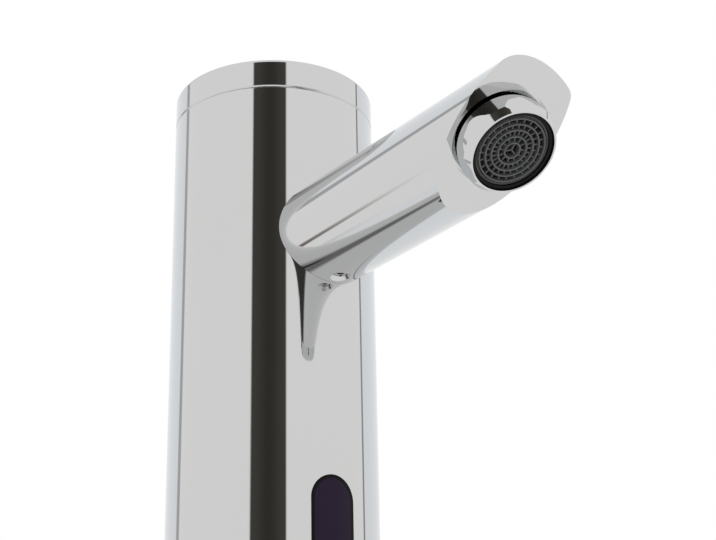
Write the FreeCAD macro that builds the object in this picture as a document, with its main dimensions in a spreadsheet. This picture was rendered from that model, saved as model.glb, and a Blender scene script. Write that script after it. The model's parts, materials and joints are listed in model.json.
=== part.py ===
"""Sensor tap: round pillar body, straight spout with a slanted aerator, concealed solenoid valve.

Millimetres. +Z is up, the spout points along -Y, and the origin is the centre of the deck hole
on top of the deck. Every size is a cell of the sheet "dims"; every sub-part reads it by name.
"""
import FreeCAD, Part
import os
import re
import Sketcher
from FreeCAD import Placement, Rotation, Vector

os.makedirs("parts", exist_ok=True)
doc = FreeCAD.newDocument("SensorTap")

# ---------------------------------------------------------------- dimensions
DIMS = [
    # casing and cap
    ("body_dia", 60), ("casing_wall", 2.5), ("seam_rise", 44.8), ("cap_height", 9.2),
    ("edge_break", 0.4), ("cap_round", 1.2), ("cap_top_wall", 3), ("spigot_depth", 6),
    ("spigot_wall", 3), ("slide_gap", 0.05), ("cap_groove_low", 2), ("cap_ring_dia", 1.54),
    # deck side
    ("gasket_thick", 1.5), ("gasket_margin", 1), ("shank_dia", 33), ("shank_bore", 28),
    ("shank_gap", 0.5), ("shank_length", 60), ("shank_engage", 6), ("lead_dia", 31.2),
    ("lead_long", 8), ("lead_edge", 1), ("deck_thick", 20), ("washer_dia", 48),
    ("rubber_thick", 3), ("steel_thick", 2), ("nut_across", 41), ("nut_thick", 8),
    # base plug and inlet
    ("plug_top", 16), ("plug_gap", 0.1), ("port_dia", 9), ("port_length", 4.5),
    ("boss_dia", 20), ("boss_top", 34), ("boss_clear", 0.6), ("cartridge_dia", 14),
    ("lock_height", 10), ("grub_dia", 4), ("hex_key", 2), ("hex_depth", 2), ("lock_long", 7),
    ("lock_point", 1.5), ("lock_sunk", 0.4),
    # check valve
    ("strainer_thick", 0.6), ("strainer_height", 2.9), ("strainer_rim", 1), ("check_low", 15),
    ("check_high", 29.4), ("check_seat_bore", 7.2), ("check_seat_height", 2.5),
    ("check_chamber", 11.2), ("spider_thick", 2.4), ("spider_hole", 2.6), ("spider_ways", 4),
    ("poppet_dia", 9.6), ("poppet_thick", 2), ("stem_dia", 2.4), ("stem_short", 0.8),
    ("seat_clear", 0.1), ("check_wire", 0.6), ("check_coil", 4.8), ("check_turns", 3),
    ("spring_clear", 0.1),
    # riser
    ("riser_dia", 10), ("riser_bore", 7.2), ("foot_gap", 0.1), ("foot_lip", 1.2),
    ("riser_foot", 4.4), ("small_ring", 1.36),
    # solenoid valve, hung from the spout's axis
    ("valve_front", 3), ("valve_drop", 66), ("valve_high", 20), ("tube_clear", 0.2),
    ("lug_dia", 12.6), ("lug_clear", 1), ("seat_bore", 9), ("seat_wall", 1.8),
    ("seat_sunk", 1), ("chamber_wall", 3.8), ("floor_rise", 6), ("cross_bore", 6),
    ("cross_rise", 4), ("riser_enter", 4), ("tube_rise", 14), ("link_half", 6),
    ("link_edge", 4), ("diaphragm_gap", 0.4), ("diaphragm_thick", 2), ("insert_edge", 2.6),
    ("insert_gap", 0.2), ("insert_lift", 0.2), ("insert_high", 3.2), ("pilot_dia", 1.6),
    ("bonnet_high", 8), ("bonnet_wall", 5.4), ("bonnet_roof", 1.5), ("screw_edge", 2.1),
    ("screw_dia", 2.9), ("screw_head", 4.2), ("screw_head_height", 2), ("screw_length", 12),
    # solenoid
    ("core_dia", 10), ("core_wall", 0.85), ("core_rise", 4.8), ("core_long", 25.2),
    ("core_flange", 14), ("core_flange_thick", 1.6), ("pole_gap", 1.7), ("plunger_dia", 8),
    ("plunger_rise", 3.3), ("plunger_length", 16), ("plunger_tip", 3.2), ("tip_long", 1.6),
    ("plunger_bore", 4.4), ("plunger_depth", 6), ("plunger_wire", 0.5), ("plunger_coil", 3.4),
    ("plunger_turns", 4), ("coil_dia", 25.6), ("coil_rise", 2.2), ("coil_cheek", 1.5),
    ("coil_wind", 23), ("yoke_thick", 2), ("yoke_width", 16), ("yoke_gap", 0.3),
    # outlet side
    ("tube_dia", 8), ("tube_bore", 5.6), ("collar_dia", 10), ("collar_long", 5),
    ("ring_edge", 1.7), ("tube_drop", 7), ("block_dia", 24), ("block_clear", 3.5),
    ("block_bore", 10), ("block_deep", 2), ("thread_dia", 16), ("thread_long", 12),
    ("lug_drop", 12), ("bridge_width", 10), ("bridge_low", 5), ("bridge_high", 4.5),
    # spout
    ("spout_height", 150), ("spout_dia", 30), ("spout_reach", 118.3), ("seat_gap", 0.05),
    ("spout_wall", 4), ("hole_gap", 0.3), ("socket_long", 30), ("socket_gap", 0.1),
    ("channel_dia", 9.6), ("channel_edge", 0.6), ("channel_short", 11.1), ("grub_out", 4.4),
    ("sink_dia", 6.2), ("sink_deep", 1.3), ("nipple_long", 28), ("nipple_edge", 1),
    ("v_half", 1.6), ("v_bite", 0.9), ("ring_width", 2.4), ("ring_depth", 1.9),
    ("first_out", 14), ("second_out", 21), ("nipple_ring_dia", 1.95),
    # aerator, measured from the centre of its ring along its own axis
    ("outlet_reach", 109.1), ("outlet_drop", 7.5), ("aerator_tilt", 36), ("flat_setback", 7.6),
    ("blend_radius", 3), ("recess_dia", 26.8), ("recess_depth", 2), ("bore_dia", 24),
    ("seat_depth", 8.5), ("chamber_dia", 16), ("chamber_depth", 2.5), ("flange_dia", 25.4),
    ("thread_outer", 23.9), ("ring_bore", 22.2), ("front_round", 23.2), ("front_chamfer", 2),
    ("cage_seat", 6), ("inner_bore", 19.8), ("wrench_count", 6), ("wrench_turn", 10),
    ("wrench_near", 11.5), ("wrench_tilt", 12.5), ("gasket_inner", 16.4), ("gasket_edge", 0.2),
    ("washer_thick", 1), ("cage_dia", 22.1), ("cage_front", 0.6), ("cage_edge", 0.3),
    ("grille_dia", 20), ("grille_front", 0.8), ("grille_thick", 2.6), ("fit_gap", 0.05),
    ("cage_floor", 18), ("screen_gap", 0.3), ("screen_thick", 0.4), ("regulator_high", 12),
    ("regulator_rim", 2.2), ("regulator_floor", 2.7), ("regulator_holes", 6),
    ("regulator_hole", 2.6), ("hole_ring", 10.4), ("regulator_cone", 6), ("cone_tip", 4),
    # grille cells: radii of the ring walls' middles
    ("hub_ring", 2.11), ("ring_one", 3.89), ("ring_two", 5.72), ("ring_three", 7.33),
    ("ring_four", 8.95), ("ring_wall", 0.5), ("rib_wall", 0.42), ("inner_cells", 12),
    ("outer_cells", 24), ("hub_cells", 4), ("hub_web", 0.35),
    # sensor
    ("window_width", 13.7), ("window_drop", 70.6), ("window_long", 42), ("window_gap", 0.05),
    ("window_land", 1.6), ("seal_edge", 0.1), ("seal_thick", 1.5), ("holder_half", 11),
    ("holder_deep", 11), ("holder_above", 3.6), ("holder_below", 3.4), ("holder_wall", 2),
    ("board_inset", 8), ("board_thick", 1.6), ("lens_dia", 5), ("lens_rim", 0.4),
    ("lens_foot", 1), ("lens_round", 1.5), ("emitter_drop", 11.4), ("receiver_rise", 11.6),
    ("module_half", 13), ("module_clear", 0.5), ("module_edge", 0.6),
    # frame and battery
    ("spine_half", 12), ("spine_thick", 2), ("spine_clear", 6.9), ("spine_drop", 6.8),
    ("foot_edge", 1.7), ("foot_thick", 2), ("shelf_drop", 30.8), ("shelf_side", 8.5),
    ("shelf_nose", 10.5), ("battery_side", 19), ("battery_ends", 20), ("battery_high", 19.5),
    ("tray_wall", 1.2), ("tray_floor", 2), ("tray_high", 14), ("contact_thick", 0.6),
    ("contact_x", 9), ("contact_wide", 6), ("frame_screw_x", 8), ("frame_screw_in", 5.1),
    ("frame_screw_deep", 4.5), ("frame_head", 3.2), ("frame_head_high", 1.5),
]
sheet = doc.addObject("Spreadsheet::Sheet", "dims")
for row, (name, size) in enumerate(DIMS, 1):
    sheet.set("A%d" % row, name)
    sheet.set("B%d" % row, str(size))
    sheet.setAlias("B%d" % row, name)
doc.recompute()

NAMES = {name for name, size in DIMS}

# Places that follow from the sizes: what hangs from the spout's axis, and what fits the casing.
BORE = "(body_dia/2-casing_wall)"
PLACES = {
    "seam_height": "spout_height+seam_rise",
    "body_height": "seam_height+cap_height",
    "block_back": BORE + "-spine_clear-spine_thick",
    "inlet_back": "block_back-boss_clear-boss_dia/2",
    # valve and solenoid, from the valve's underside up
    "valve_low": "spout_height-valve_drop",
    "valve_top": "valve_low+valve_high",
    "riser_top": "valve_low+riser_enter",
    "cross_height": "valve_low+cross_rise",
    "floor_height": "valve_low+floor_rise",
    "tube_low": "valve_low+tube_rise",
    "outlet_side": BORE + "-lug_clear-lug_dia/2",
    "valve_dia": "2*(outlet_side-tube_dia/2-tube_clear)",
    "ring_chamber": "valve_dia-2*chamber_wall",
    "diaphragm_dia": "ring_chamber-diaphragm_gap",
    "bonnet_chamber": "valve_dia-2*bonnet_wall",
    "insert_dia": "bonnet_chamber-2*insert_edge",
    "screw_ring": "valve_dia-2*screw_edge",
    "bonnet_top": "valve_top+bonnet_high",
    "core_low": "valve_top+core_rise",
    "core_top": "core_low+core_long",
    "plunger_low": "valve_top+plunger_rise",
    "pole_low": "plunger_low+plunger_length+pole_gap",
    "coil_low": "bonnet_top+coil_rise",
    # outlet block, nipple and the spout's socket
    "tube_high": "spout_height-tube_drop",
    "lug_low": "spout_height-lug_drop",
    "block_front": BORE + "-block_clear",
    "socket_dia": "spout_dia-2*spout_wall",
    "wall_hole": "socket_dia+2*hole_gap",
    "socket_end": "body_dia/2+socket_long",
    "channel_rise": "socket_dia/2-channel_dia/2-channel_edge",
    "channel_end": "outlet_reach-channel_short",
    "grub_reach": "body_dia/2+grub_out",
    "nipple_end": "body_dia/2+nipple_long",
    "first_ring": "body_dia/2+first_out",
    "second_ring": "body_dia/2+second_out",
    # sensor
    "window_top": "spout_height-window_drop",
    "window_low": "window_top-window_long",
    "holder_top": "window_top+holder_above",
    "holder_low": "window_low-holder_below",
    "holder_front": BORE + "-seal_thick",
    "holder_back": "holder_front-holder_deep",
    "board_front": "holder_front-board_inset",
    "lens_front": "holder_front-holder_wall",
    "emitter_height": "window_top-emitter_drop",
    "receiver_height": "window_low+receiver_rise",
    "module_front": "holder_back",
    "module_back": "boss_dia/2-inlet_back+module_clear",
    "module_low": "window_low+module_edge",
    "module_top": "window_top+module_edge",
    # frame and battery
    "spine_top": "seam_height-spine_drop",
    "frame_screw_y": BORE + "-plug_gap-frame_screw_in",
    "foot_back": "frame_screw_y+foot_edge",
    "shelf_low": "seam_height-shelf_drop",
    "shelf_half": BORE + "-shelf_side",
    "shelf_front": BORE + "-shelf_nose",
    "battery_wide": "2*%s-battery_side" % BORE,
    "battery_deep": "2*%s-battery_ends" % BORE,
}
WORD = re.compile(r"[A-Za-z_][A-Za-z_0-9]*")
pieces = []


def bound(text):
    """The expression with every size's name pointing at its cell, and every place worked out."""
    def cell(found):
        word = found.group(0)
        if word in PLACES:
            return "(%s)" % bound(PLACES[word])
        return "dims." + word if word in NAMES else word
    return WORD.sub(cell, str(text))


def value(text):
    """The number an expression gives now."""
    return float(sheet.evalExpression(bound(text)))


def bind(owner, target, text):
    owner.setExpression(target, bound(text))


class Piece:
    """One sub-part: a body of sketches and features, every size bound to the sheet."""

    def __init__(self, label, x="0", y="0", z="0", turn="0"):
        """The body stands at x, y, z, turned about its X axis."""
        self.body = doc.addObject("PartDesign::Body", label)
        self.body.Label = label
        self.body.Placement = Placement(Vector(value(x), value(y), value(z)),
                                        Rotation(Vector(1, 0, 0), value(turn)))
        for axis, text in (("x", x), ("y", y), ("z", z)):
            bind(self.body, ".Placement.Base." + axis, text)
        if turn != "0":
            bind(self.body, ".Placement.Rotation.Angle", turn)
        pieces.append(self.body)

    def origin(self, role):
        return [item for item in self.body.Origin.OriginFeatures if item.Role == role][0]

    def sketch(self, role, shift=("0", "0", "0"), spin=None):
        """A sketch on one of the body's origin planes, shifted and spun in that plane's frame."""
        made = self.body.newObject("Sketcher::SketchObject", "outline")
        made.AttachmentSupport = [(self.origin(role), "")]
        made.MapMode = "FlatFace"
        offset = Placement(Vector(*[value(text) for text in shift]), Rotation())
        if spin:
            offset.Rotation = Rotation(spin[0], value(spin[1]))
        made.AttachmentOffset = offset
        for axis, text in zip("xyz", shift):
            bind(made, ".AttachmentOffset.Base." + axis, text)
        if spin:
            bind(made, ".AttachmentOffset.Rotation.Angle", spin[1])
        return made

    def finish(self, feature, cut):
        """Recompute, and make sure that the feature did what it is for."""
        doc.recompute()
        after = feature.Shape.Volume
        if self.volume and (after >= self.volume - 1e-6 if cut else after <= self.volume + 1e-6):
            raise RuntimeError("%s: %s changed nothing" % (self.body.Label, feature.Name))
        self.body.Tip = feature
        return feature

    @property
    def volume(self):
        return self.last

    def start(self):
        """Remember the volume before the next feature."""
        doc.recompute()
        tip = self.body.Tip
        self.last = tip.Shape.Volume if tip and tip.isDerivedFrom("PartDesign::Feature") else 0.0

    def turned(self, points, cut=False, role="XZ_Plane", shift=("0", "0", "0"), spin=None):
        """Revolve a closed outline of (radius, height) about the sketch's vertical axis."""
        self.start()
        drawn = self.sketch(role, shift, spin)
        loop(drawn, points)
        kind = "PartDesign::Groove" if cut else "PartDesign::Revolution"
        feature = self.body.newObject(kind, "turning")
        feature.Profile = drawn
        feature.ReferenceAxis = (drawn, ["V_Axis"])
        feature.Angle = 360
        return self.finish(feature, cut)

    def block(self, role, draw, low, high, cut=False, yaw=None):
        """Pad or pocket what draw() puts in a sketch, between two stations across the plane.

        The stations are along +X for the YZ plane, +Y for the XZ plane and +Z for the XY plane.
        A yaw swings the whole run about the sketch's upright axis.
        """
        self.start()
        start = "-(%s)" % high if role == "XZ_Plane" else low
        if yaw:
            shift = ("(%s)*sin(%s)" % (start, yaw), "0", "(%s)*cos(%s)" % (start, yaw))
            drawn = self.sketch(role, shift, (Vector(0, 1, 0), yaw))
        else:
            drawn = self.sketch(role, ("0", "0", start))
        draw(drawn)
        kind = "PartDesign::Pocket" if cut else "PartDesign::Pad"
        feature = self.body.newObject(kind, "run")
        feature.Profile = drawn
        feature.Length = value("(%s)-(%s)" % (high, low))
        bind(feature, "Length", "(%s)-(%s)" % (high, low))
        feature.Reversed = cut
        return self.finish(feature, cut)

    def drum(self, role, x, y, radius, low, high, cut=False):
        """A round pad or pocket between two stations."""
        return self.block(role, lambda s: circle(s, x, y, radius), low, high, cut)

    def ring(self, feature, count):
        """Repeat a feature evenly about the body's Z axis."""
        self.start()
        cut = feature.TypeId in ("PartDesign::Pocket", "PartDesign::Groove")
        pattern = self.body.newObject("PartDesign::PolarPattern", "ring")
        pattern.Originals = [feature]
        pattern.Axis = (self.origin("Z_Axis"), [""])
        pattern.Angle = 360
        bind(pattern, "Occurrences", count)
        return self.finish(pattern, cut)

    def round(self, radius, test):
        """Round the edges of the tip that pass the test."""
        doc.recompute()
        base = self.body.Tip
        edges = ["Edge%d" % (place + 1) for place, edge in enumerate(base.Shape.Edges) if test(edge)]
        feature = self.body.newObject("PartDesign::Fillet", "round")
        feature.Base = (base, edges)
        bind(feature, "Radius", radius)
        doc.recompute()
        self.body.Tip = feature
        return feature

    def spring(self, coil, wire, low, high, turns):
        """A coil spring of square wire that fills the heights from low to high."""
        self.start()
        drawn = self.sketch("XZ_Plane")
        loop(drawn, [
            ("(%s)/2+%s/2*cos(90*%d)" % (coil, wire, corner),
             "%s+%s/2+%s/2*sin(90*%d)" % (low, wire, wire, corner))
            for corner in range(4)
        ])
        feature = self.body.newObject("PartDesign::AdditiveHelix", "coil")
        feature.Profile = drawn
        feature.ReferenceAxis = (drawn, ["V_Axis"])
        feature.Mode = 2
        bind(feature, "Height", "(%s)-(%s)-%s" % (high, low, wire))
        bind(feature, "Turns", turns)
        feature.Angle = 0
        return self.finish(feature, False)


def pin_point(sketch, index, place, x, y):
    """Hold a point of a sketch at x, y from its origin."""
    for kind, text in (("DistanceX", x), ("DistanceY", y)):
        number = sketch.addConstraint(Sketcher.Constraint(kind, -1, 1, index, place, value(text)))
        bind(sketch, "Constraints[%d]" % number, text)


def loop(sketch, points):
    """A closed outline of straight lines through the points."""
    first = sketch.GeometryCount
    spots = [Vector(value(x), value(y), 0) for x, y in points]
    count = len(spots)
    for place in range(count):
        sketch.addGeometry(Part.LineSegment(spots[place], spots[(place + 1) % count]), False)
    for place in range(count):
        following = first + (place + 1) % count
        sketch.addConstraint(Sketcher.Constraint("Coincident", first + place, 2, following, 1))
    for place, (x, y) in enumerate(points):
        pin_point(sketch, first + place, 1, x, y)


def circle(sketch, x, y, radius):
    """A full circle."""
    shape = Part.Circle(Vector(value(x), value(y), 0), Vector(0, 0, 1), value(radius))
    index = sketch.addGeometry(shape, False)
    pin_point(sketch, index, 3, x, y)
    number = sketch.addConstraint(Sketcher.Constraint("Radius", index, value(radius)))
    bind(sketch, "Constraints[%d]" % number, radius)


def box(sketch, left, right, low, high):
    """A rectangle."""
    loop(sketch, [(left, low), (right, low), (right, high), (left, high)])


def stadium(sketch, low, high, width):
    """An upright slot with round ends, centred on the sketch's vertical axis."""
    radius = value("(%s)/2" % width)
    bottom = value(low) + radius
    top = value(high) - radius
    flat = Vector(0, 0, 1)
    first = sketch.GeometryCount
    half = 3.141592653589793
    upper = Part.ArcOfCircle(Part.Circle(Vector(0, top, 0), flat, radius), 0, half)
    lower = Part.ArcOfCircle(Part.Circle(Vector(0, bottom, 0), flat, radius), half, 2 * half)
    sketch.addGeometry(upper, False)
    sketch.addGeometry(Part.LineSegment(Vector(-radius, top, 0), Vector(-radius, bottom, 0)), False)
    sketch.addGeometry(lower, False)
    sketch.addGeometry(Part.LineSegment(Vector(radius, bottom, 0), Vector(radius, top, 0)), False)
    for place in range(4):
        following = first + (place + 1) % 4
        sketch.addConstraint(Sketcher.Constraint("Tangent", first + place, 2, following, 1))
    sketch.addConstraint(Sketcher.Constraint("Equal", first, first + 2))
    number = sketch.addConstraint(Sketcher.Constraint("Radius", first, radius))
    bind(sketch, "Constraints[%d]" % number, "(%s)/2" % width)
    pin_point(sketch, first, 3, "0", "(%s)-(%s)/2" % (high, width))
    pin_point(sketch, first + 2, 3, "0", "(%s)+(%s)/2" % (low, width))


def hexagon(sketch, x, y, across):
    """A regular hexagon by its width across flats."""
    corners = []
    for step in range(6):
        angle = 30 + 60 * step
        reach = "(%s)/2/cos(30)" % across
        corners.append(("%s+%s*cos(%d)" % (x, reach, angle), "%s+%s*sin(%d)" % (y, reach, angle)))
    loop(sketch, corners)


def rod(radius, low, high, x="0", y="0"):
    """An upright cylinder for a group."""
    made = doc.addObject("Part::Cylinder", "rod")
    bind(made, "Radius", radius)
    bind(made, "Height", "(%s)-(%s)" % (high, low))
    for axis, text in (("x", x), ("y", y), ("z", low)):
        bind(made, ".Placement.Base." + axis, text)
    return made


def o_ring(label, radius, section, heights, x="0", y="0", z="0", turn="0"):
    """Rubber rings, each squeezed to four flats in its groove, one at each height."""
    made = Piece(label, x, y, z, turn)
    made.body.AllowCompound = True
    for height in heights:
        made.turned([
            ("%s+(%s)*cos(90*%d)" % (radius, section, corner),
             "%s+(%s)*sin(90*%d)" % (height, section, corner))
            for corner in range(4)
        ])


def group(label, members, x="0", y="0", z="0", turn="0"):
    """Several like solids that make one sub-part."""
    made = doc.addObject("Part::MultiFuse", label)
    made.Label = label
    made.Shapes = members
    doc.recompute()
    made.Placement = Placement(Vector(value(x), value(y), value(z)),
                               Rotation(Vector(1, 0, 0), value(turn)))
    for axis, text in (("x", x), ("y", y), ("z", z)):
        bind(made, ".Placement.Base." + axis, text)
    if turn != "0":
        bind(made, ".Placement.Rotation.Angle", turn)
    pieces.append(made)
    return made


# ---------------------------------------------------------------- casing and cap
OUTER = "body_dia/2"
INNER = "body_dia/2-casing_wall"
SPIGOT = "body_dia/2-casing_wall-slide_gap"

casing = Piece("body_casing")
casing.turned([
    (INNER, "gasket_thick"),
    (OUTER, "gasket_thick"),
    (OUTER, "seam_height-edge_break"),
    (OUTER + "-edge_break", "seam_height"),
    (INNER, "seam_height"),
])
casing.drum("XZ_Plane", "0", "spout_height", "wall_hole/2",
             "-(body_dia/2+1)", "-(body_dia/2-10)", cut=True)
casing.block("XZ_Plane", lambda s: stadium(s, "window_low", "window_top", "window_width"),
             "-(body_dia/2+1)", "-(body_dia/2-8)", cut=True)
casing.drum("XZ_Plane", "0", "lock_height", "grub_dia/2+slide_gap",
             "body_dia/2-8", "body_dia/2+1", cut=True)

GROOVE = "seam_height-spigot_depth+cap_groove_low"
cap = Piece("top_cap")
cap.turned([
    ("0", "body_height-cap_top_wall"),
    (SPIGOT + "-spigot_wall", "body_height-cap_top_wall"),
    (SPIGOT + "-spigot_wall", "seam_height-spigot_depth"),
    (SPIGOT, "seam_height-spigot_depth"),
    (SPIGOT, GROOVE),
    (SPIGOT + "-cap_ring_dia+slide_gap", GROOVE),
    (SPIGOT + "-cap_ring_dia+slide_gap", GROOVE + "+cap_ring_dia*1.2"),
    (SPIGOT, GROOVE + "+cap_ring_dia*1.2"),
    (SPIGOT, "seam_height"),
    (OUTER + "-edge_break", "seam_height"),
    (OUTER, "seam_height+edge_break"),
    (OUTER, "body_height"),
    ("0", "body_height"),
])
cap.round("cap_round", lambda edge: abs(edge.BoundBox.ZMin - value("body_height")) < 0.001)

o_ring("cap_o_ring", INNER + "-cap_ring_dia/2", "cap_ring_dia/2", [GROOVE + "+cap_ring_dia*0.6"])

# ---------------------------------------------------------------- deck side
SHANK = "shank_dia/2"
gasket = Piece("deck_gasket")
gasket.turned([
    (SHANK + "+shank_gap", "0"),
    (OUTER + "-gasket_margin", "0"),
    (OUTER + "-gasket_margin", "gasket_thick"),
    (SHANK + "+shank_gap", "gasket_thick"),
])

shank = Piece("threaded_shank")
shank.turned([
    ("shank_bore/2", "-shank_length"),
    ("lead_dia/2-lead_edge", "-shank_length"),
    ("lead_dia/2", "-shank_length+lead_edge"),
    ("lead_dia/2", "-shank_length+lead_long"),
    (SHANK, "-shank_length+lead_long+shank_dia/2-lead_dia/2"),
    (SHANK, "gasket_thick+shank_engage"),
    ("shank_bore/2", "gasket_thick+shank_engage"),
])

rubber = Piece("rubber_washer")
rubber.turned([
    (SHANK + "+shank_gap", "-deck_thick-rubber_thick"),
    ("washer_dia/2", "-deck_thick-rubber_thick"),
    ("washer_dia/2", "-deck_thick"),
    (SHANK + "+shank_gap", "-deck_thick"),
])

steel = Piece("steel_washer")
steel.turned([
    (SHANK + "+shank_gap", "-deck_thick-rubber_thick-steel_thick"),
    ("washer_dia/2", "-deck_thick-rubber_thick-steel_thick"),
    ("washer_dia/2", "-deck_thick-rubber_thick"),
    (SHANK + "+shank_gap", "-deck_thick-rubber_thick"),
])

NUT_TOP = "-deck_thick-rubber_thick-steel_thick"
NUT_LOW = NUT_TOP + "-nut_thick"
nut = Piece("shank_nut")
nut.block("XY_Plane", lambda s: hexagon(s, "0", "0", "nut_across"), NUT_LOW, NUT_TOP)
nut.drum("XY_Plane", "0", "0", SHANK, NUT_LOW, NUT_TOP, cut=True)
nut.turned([
    ("nut_across/2", NUT_LOW + "-1"),
    ("nut_across/2*1.3", NUT_LOW + "-1"),
    ("nut_across/2*1.3", NUT_LOW + "+nut_across/2*0.3*tan(25)"),
    ("nut_across/2", NUT_LOW),
], cut=True)

# ---------------------------------------------------------------- base plug and inlet
PLUG = "body_dia/2-casing_wall-plug_gap"
ENGAGE = "gasket_thick+shank_engage"
PORT_TOP = ENGAGE + "+port_length"
plug = Piece("base_plug")
plug.turned([
    (SHANK, "gasket_thick"),
    (PLUG, "gasket_thick"),
    (PLUG, "plug_top"),
    ("0", "plug_top"),
    ("0", ENGAGE),
    (SHANK, ENGAGE),
])
plug.drum("XY_Plane", "0", "inlet_back", "boss_dia/2", "plug_top-1", "boss_top")
plug.drum("XY_Plane", "0", "inlet_back", "port_dia/2", ENGAGE, PORT_TOP, cut=True)
plug.drum("XY_Plane", "0", "inlet_back", "cartridge_dia/2+slide_gap",
           PORT_TOP, "boss_top", cut=True)
plug.drum("XZ_Plane", "0", "lock_height", "grub_dia/2",
           "body_dia/2-10", "body_dia/2", cut=True)
for side in ("-frame_screw_x", "frame_screw_x"):
    plug.drum("XY_Plane", side, "frame_screw_y", "screw_dia/2",
               "plug_top-frame_screw_deep", "plug_top", cut=True)

lock = Piece("base_lock_screw", y="body_dia/2-lock_sunk", z="lock_height", turn="90")
lock.turned([
    ("0", "0"), ("grub_dia/2-slide_gap", "0"), ("grub_dia/2-slide_gap", "lock_long"),
    ("grub_dia/4", "lock_long+lock_point"), ("0", "lock_long+lock_point"),
])
lock.block("XY_Plane", lambda s: hexagon(s, "0", "0", "hex_key"), "0", "hex_depth", cut=True)

strainer = Piece("inlet_strainer", y="inlet_back")
strainer.turned([
    ("port_dia/2-strainer_rim", PORT_TOP),
    ("cartridge_dia/2-fit_gap", PORT_TOP),
    ("cartridge_dia/2-fit_gap", PORT_TOP + "+strainer_thick"),
    ("port_dia/2-strainer_rim+strainer_thick", PORT_TOP + "+strainer_thick"),
    ("strainer_thick+strainer_rim", PORT_TOP + "+strainer_height"),
    ("0", PORT_TOP + "+strainer_height"),
    ("0", PORT_TOP + "+strainer_height-strainer_thick"),
    ("strainer_rim", PORT_TOP + "+strainer_height-strainer_thick"),
])

SEAT = "check_low+check_seat_height"
GUIDE = "check_high-spider_thick"
check = Piece("check_valve_body", y="inlet_back")
check.turned([
    ("check_seat_bore/2", "check_low"),
    ("cartridge_dia/2", "check_low"),
    ("cartridge_dia/2", "check_high"),
    ("stem_dia/2+fit_gap*2", "check_high"),
    ("stem_dia/2+fit_gap*2", GUIDE),
    ("check_chamber/2", GUIDE),
    ("check_chamber/2", SEAT),
    ("check_seat_bore/2", SEAT),
])
flow = check.drum("XY_Plane", "check_chamber/2-spider_hole*0.75", "0", "spider_hole/2",
                   GUIDE, "check_high", cut=True)
check.ring(flow, "spider_ways")

poppet = Piece("check_valve_poppet", y="inlet_back")
poppet.turned([
    ("0", SEAT + "+seat_clear"),
    ("poppet_dia/2", SEAT + "+seat_clear"),
    ("poppet_dia/2", SEAT + "+seat_clear+poppet_thick"),
    ("stem_dia/2", SEAT + "+seat_clear+poppet_thick"),
    ("stem_dia/2", "check_high-stem_short"),
    ("0", "check_high-stem_short"),
])

spring = Piece("check_valve_spring", y="inlet_back")
spring.spring("check_coil", "check_wire", SEAT + "+seat_clear+poppet_thick+spring_clear",
              GUIDE + "-spring_clear", "check_turns")

FOOT_LOW = "check_high+foot_gap"
FOOT_TOP = FOOT_LOW + "+riser_foot"
FOOT_RING = FOOT_LOW + "+foot_lip"
riser = Piece("riser_tube", y="inlet_back")
riser.turned([
    ("riser_bore/2", FOOT_LOW),
    ("cartridge_dia/2", FOOT_LOW),
    ("cartridge_dia/2", FOOT_RING),
    ("cartridge_dia/2-small_ring+slide_gap", FOOT_RING),
    ("cartridge_dia/2-small_ring+slide_gap", FOOT_RING + "+small_ring*1.2"),
    ("cartridge_dia/2", FOOT_RING + "+small_ring*1.2"),
    ("cartridge_dia/2", FOOT_TOP),
    ("riser_dia/2", FOOT_TOP),
    ("riser_dia/2", "riser_top"),
    ("riser_bore/2", "riser_top"),
])
o_ring("riser_o_ring", "cartridge_dia/2+slide_gap-small_ring/2", "small_ring/2",
       [FOOT_RING + "+small_ring*0.6"], y="inlet_back")

# ---------------------------------------------------------------- solenoid valve
SEAT_OUT = "seat_bore/2+seat_wall"
valve = Piece("valve_body", y="-valve_front")
valve.turned([
    ("0", "valve_low"), ("valve_dia/2", "valve_low"), ("valve_dia/2", "valve_top"), ("0", "valve_top"),
])
REACH = "inlet_back+valve_front"
valve.drum("XY_Plane", "0", REACH, "lug_dia/2", "valve_low", "floor_height")
valve.drum("XY_Plane", "outlet_side", "0", "lug_dia/2", "valve_low", "tube_low+collar_long")
valve.block("XY_Plane", lambda s: box(
    s, "outlet_side/2", "outlet_side", "-bridge_width/2", "bridge_width/2"),
            "valve_low", "tube_low+collar_long")
valve.block("YZ_Plane", lambda s: box(
    s, "valve_dia/2-spine_thick", "block_back+valve_front", "valve_low+link_edge", "valve_top-link_edge"),
    "-link_half", "link_half")
valve.turned([
    (SEAT_OUT, "floor_height"),
    ("ring_chamber/2", "floor_height"),
    ("ring_chamber/2", "valve_top+seat_sunk"),
    ("0", "valve_top+seat_sunk"),
    ("0", "valve_top-seat_sunk"),
    (SEAT_OUT, "valve_top-seat_sunk"),
], cut=True)
valve.drum("XY_Plane", "0", "0", "seat_bore/2", "cross_height-cross_bore/2", "valve_top", cut=True)
valve.drum("YZ_Plane", "0", "cross_height", "cross_bore/2", "0", "outlet_side", cut=True)
valve.drum("XY_Plane", "outlet_side", "0", "cross_bore/2",
            "cross_height", "tube_low", cut=True)
valve.drum("XY_Plane", "outlet_side", "0", "collar_dia/2+slide_gap",
            "tube_low", "tube_low+collar_long", cut=True)
valve.drum("XY_Plane", "0", REACH, "riser_dia/2+slide_gap", "valve_low", "riser_top", cut=True)
valve.drum("XY_Plane", "0", REACH, "riser_bore/2", "riser_top", "floor_height+seat_sunk", cut=True)
SCREW_X = "screw_ring/2*cos(45)"
tapped = valve.drum("XY_Plane", SCREW_X, SCREW_X, "screw_dia/2",
                     "bonnet_top-screw_length", "valve_top", cut=True)
valve.ring(tapped, "4")

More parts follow.
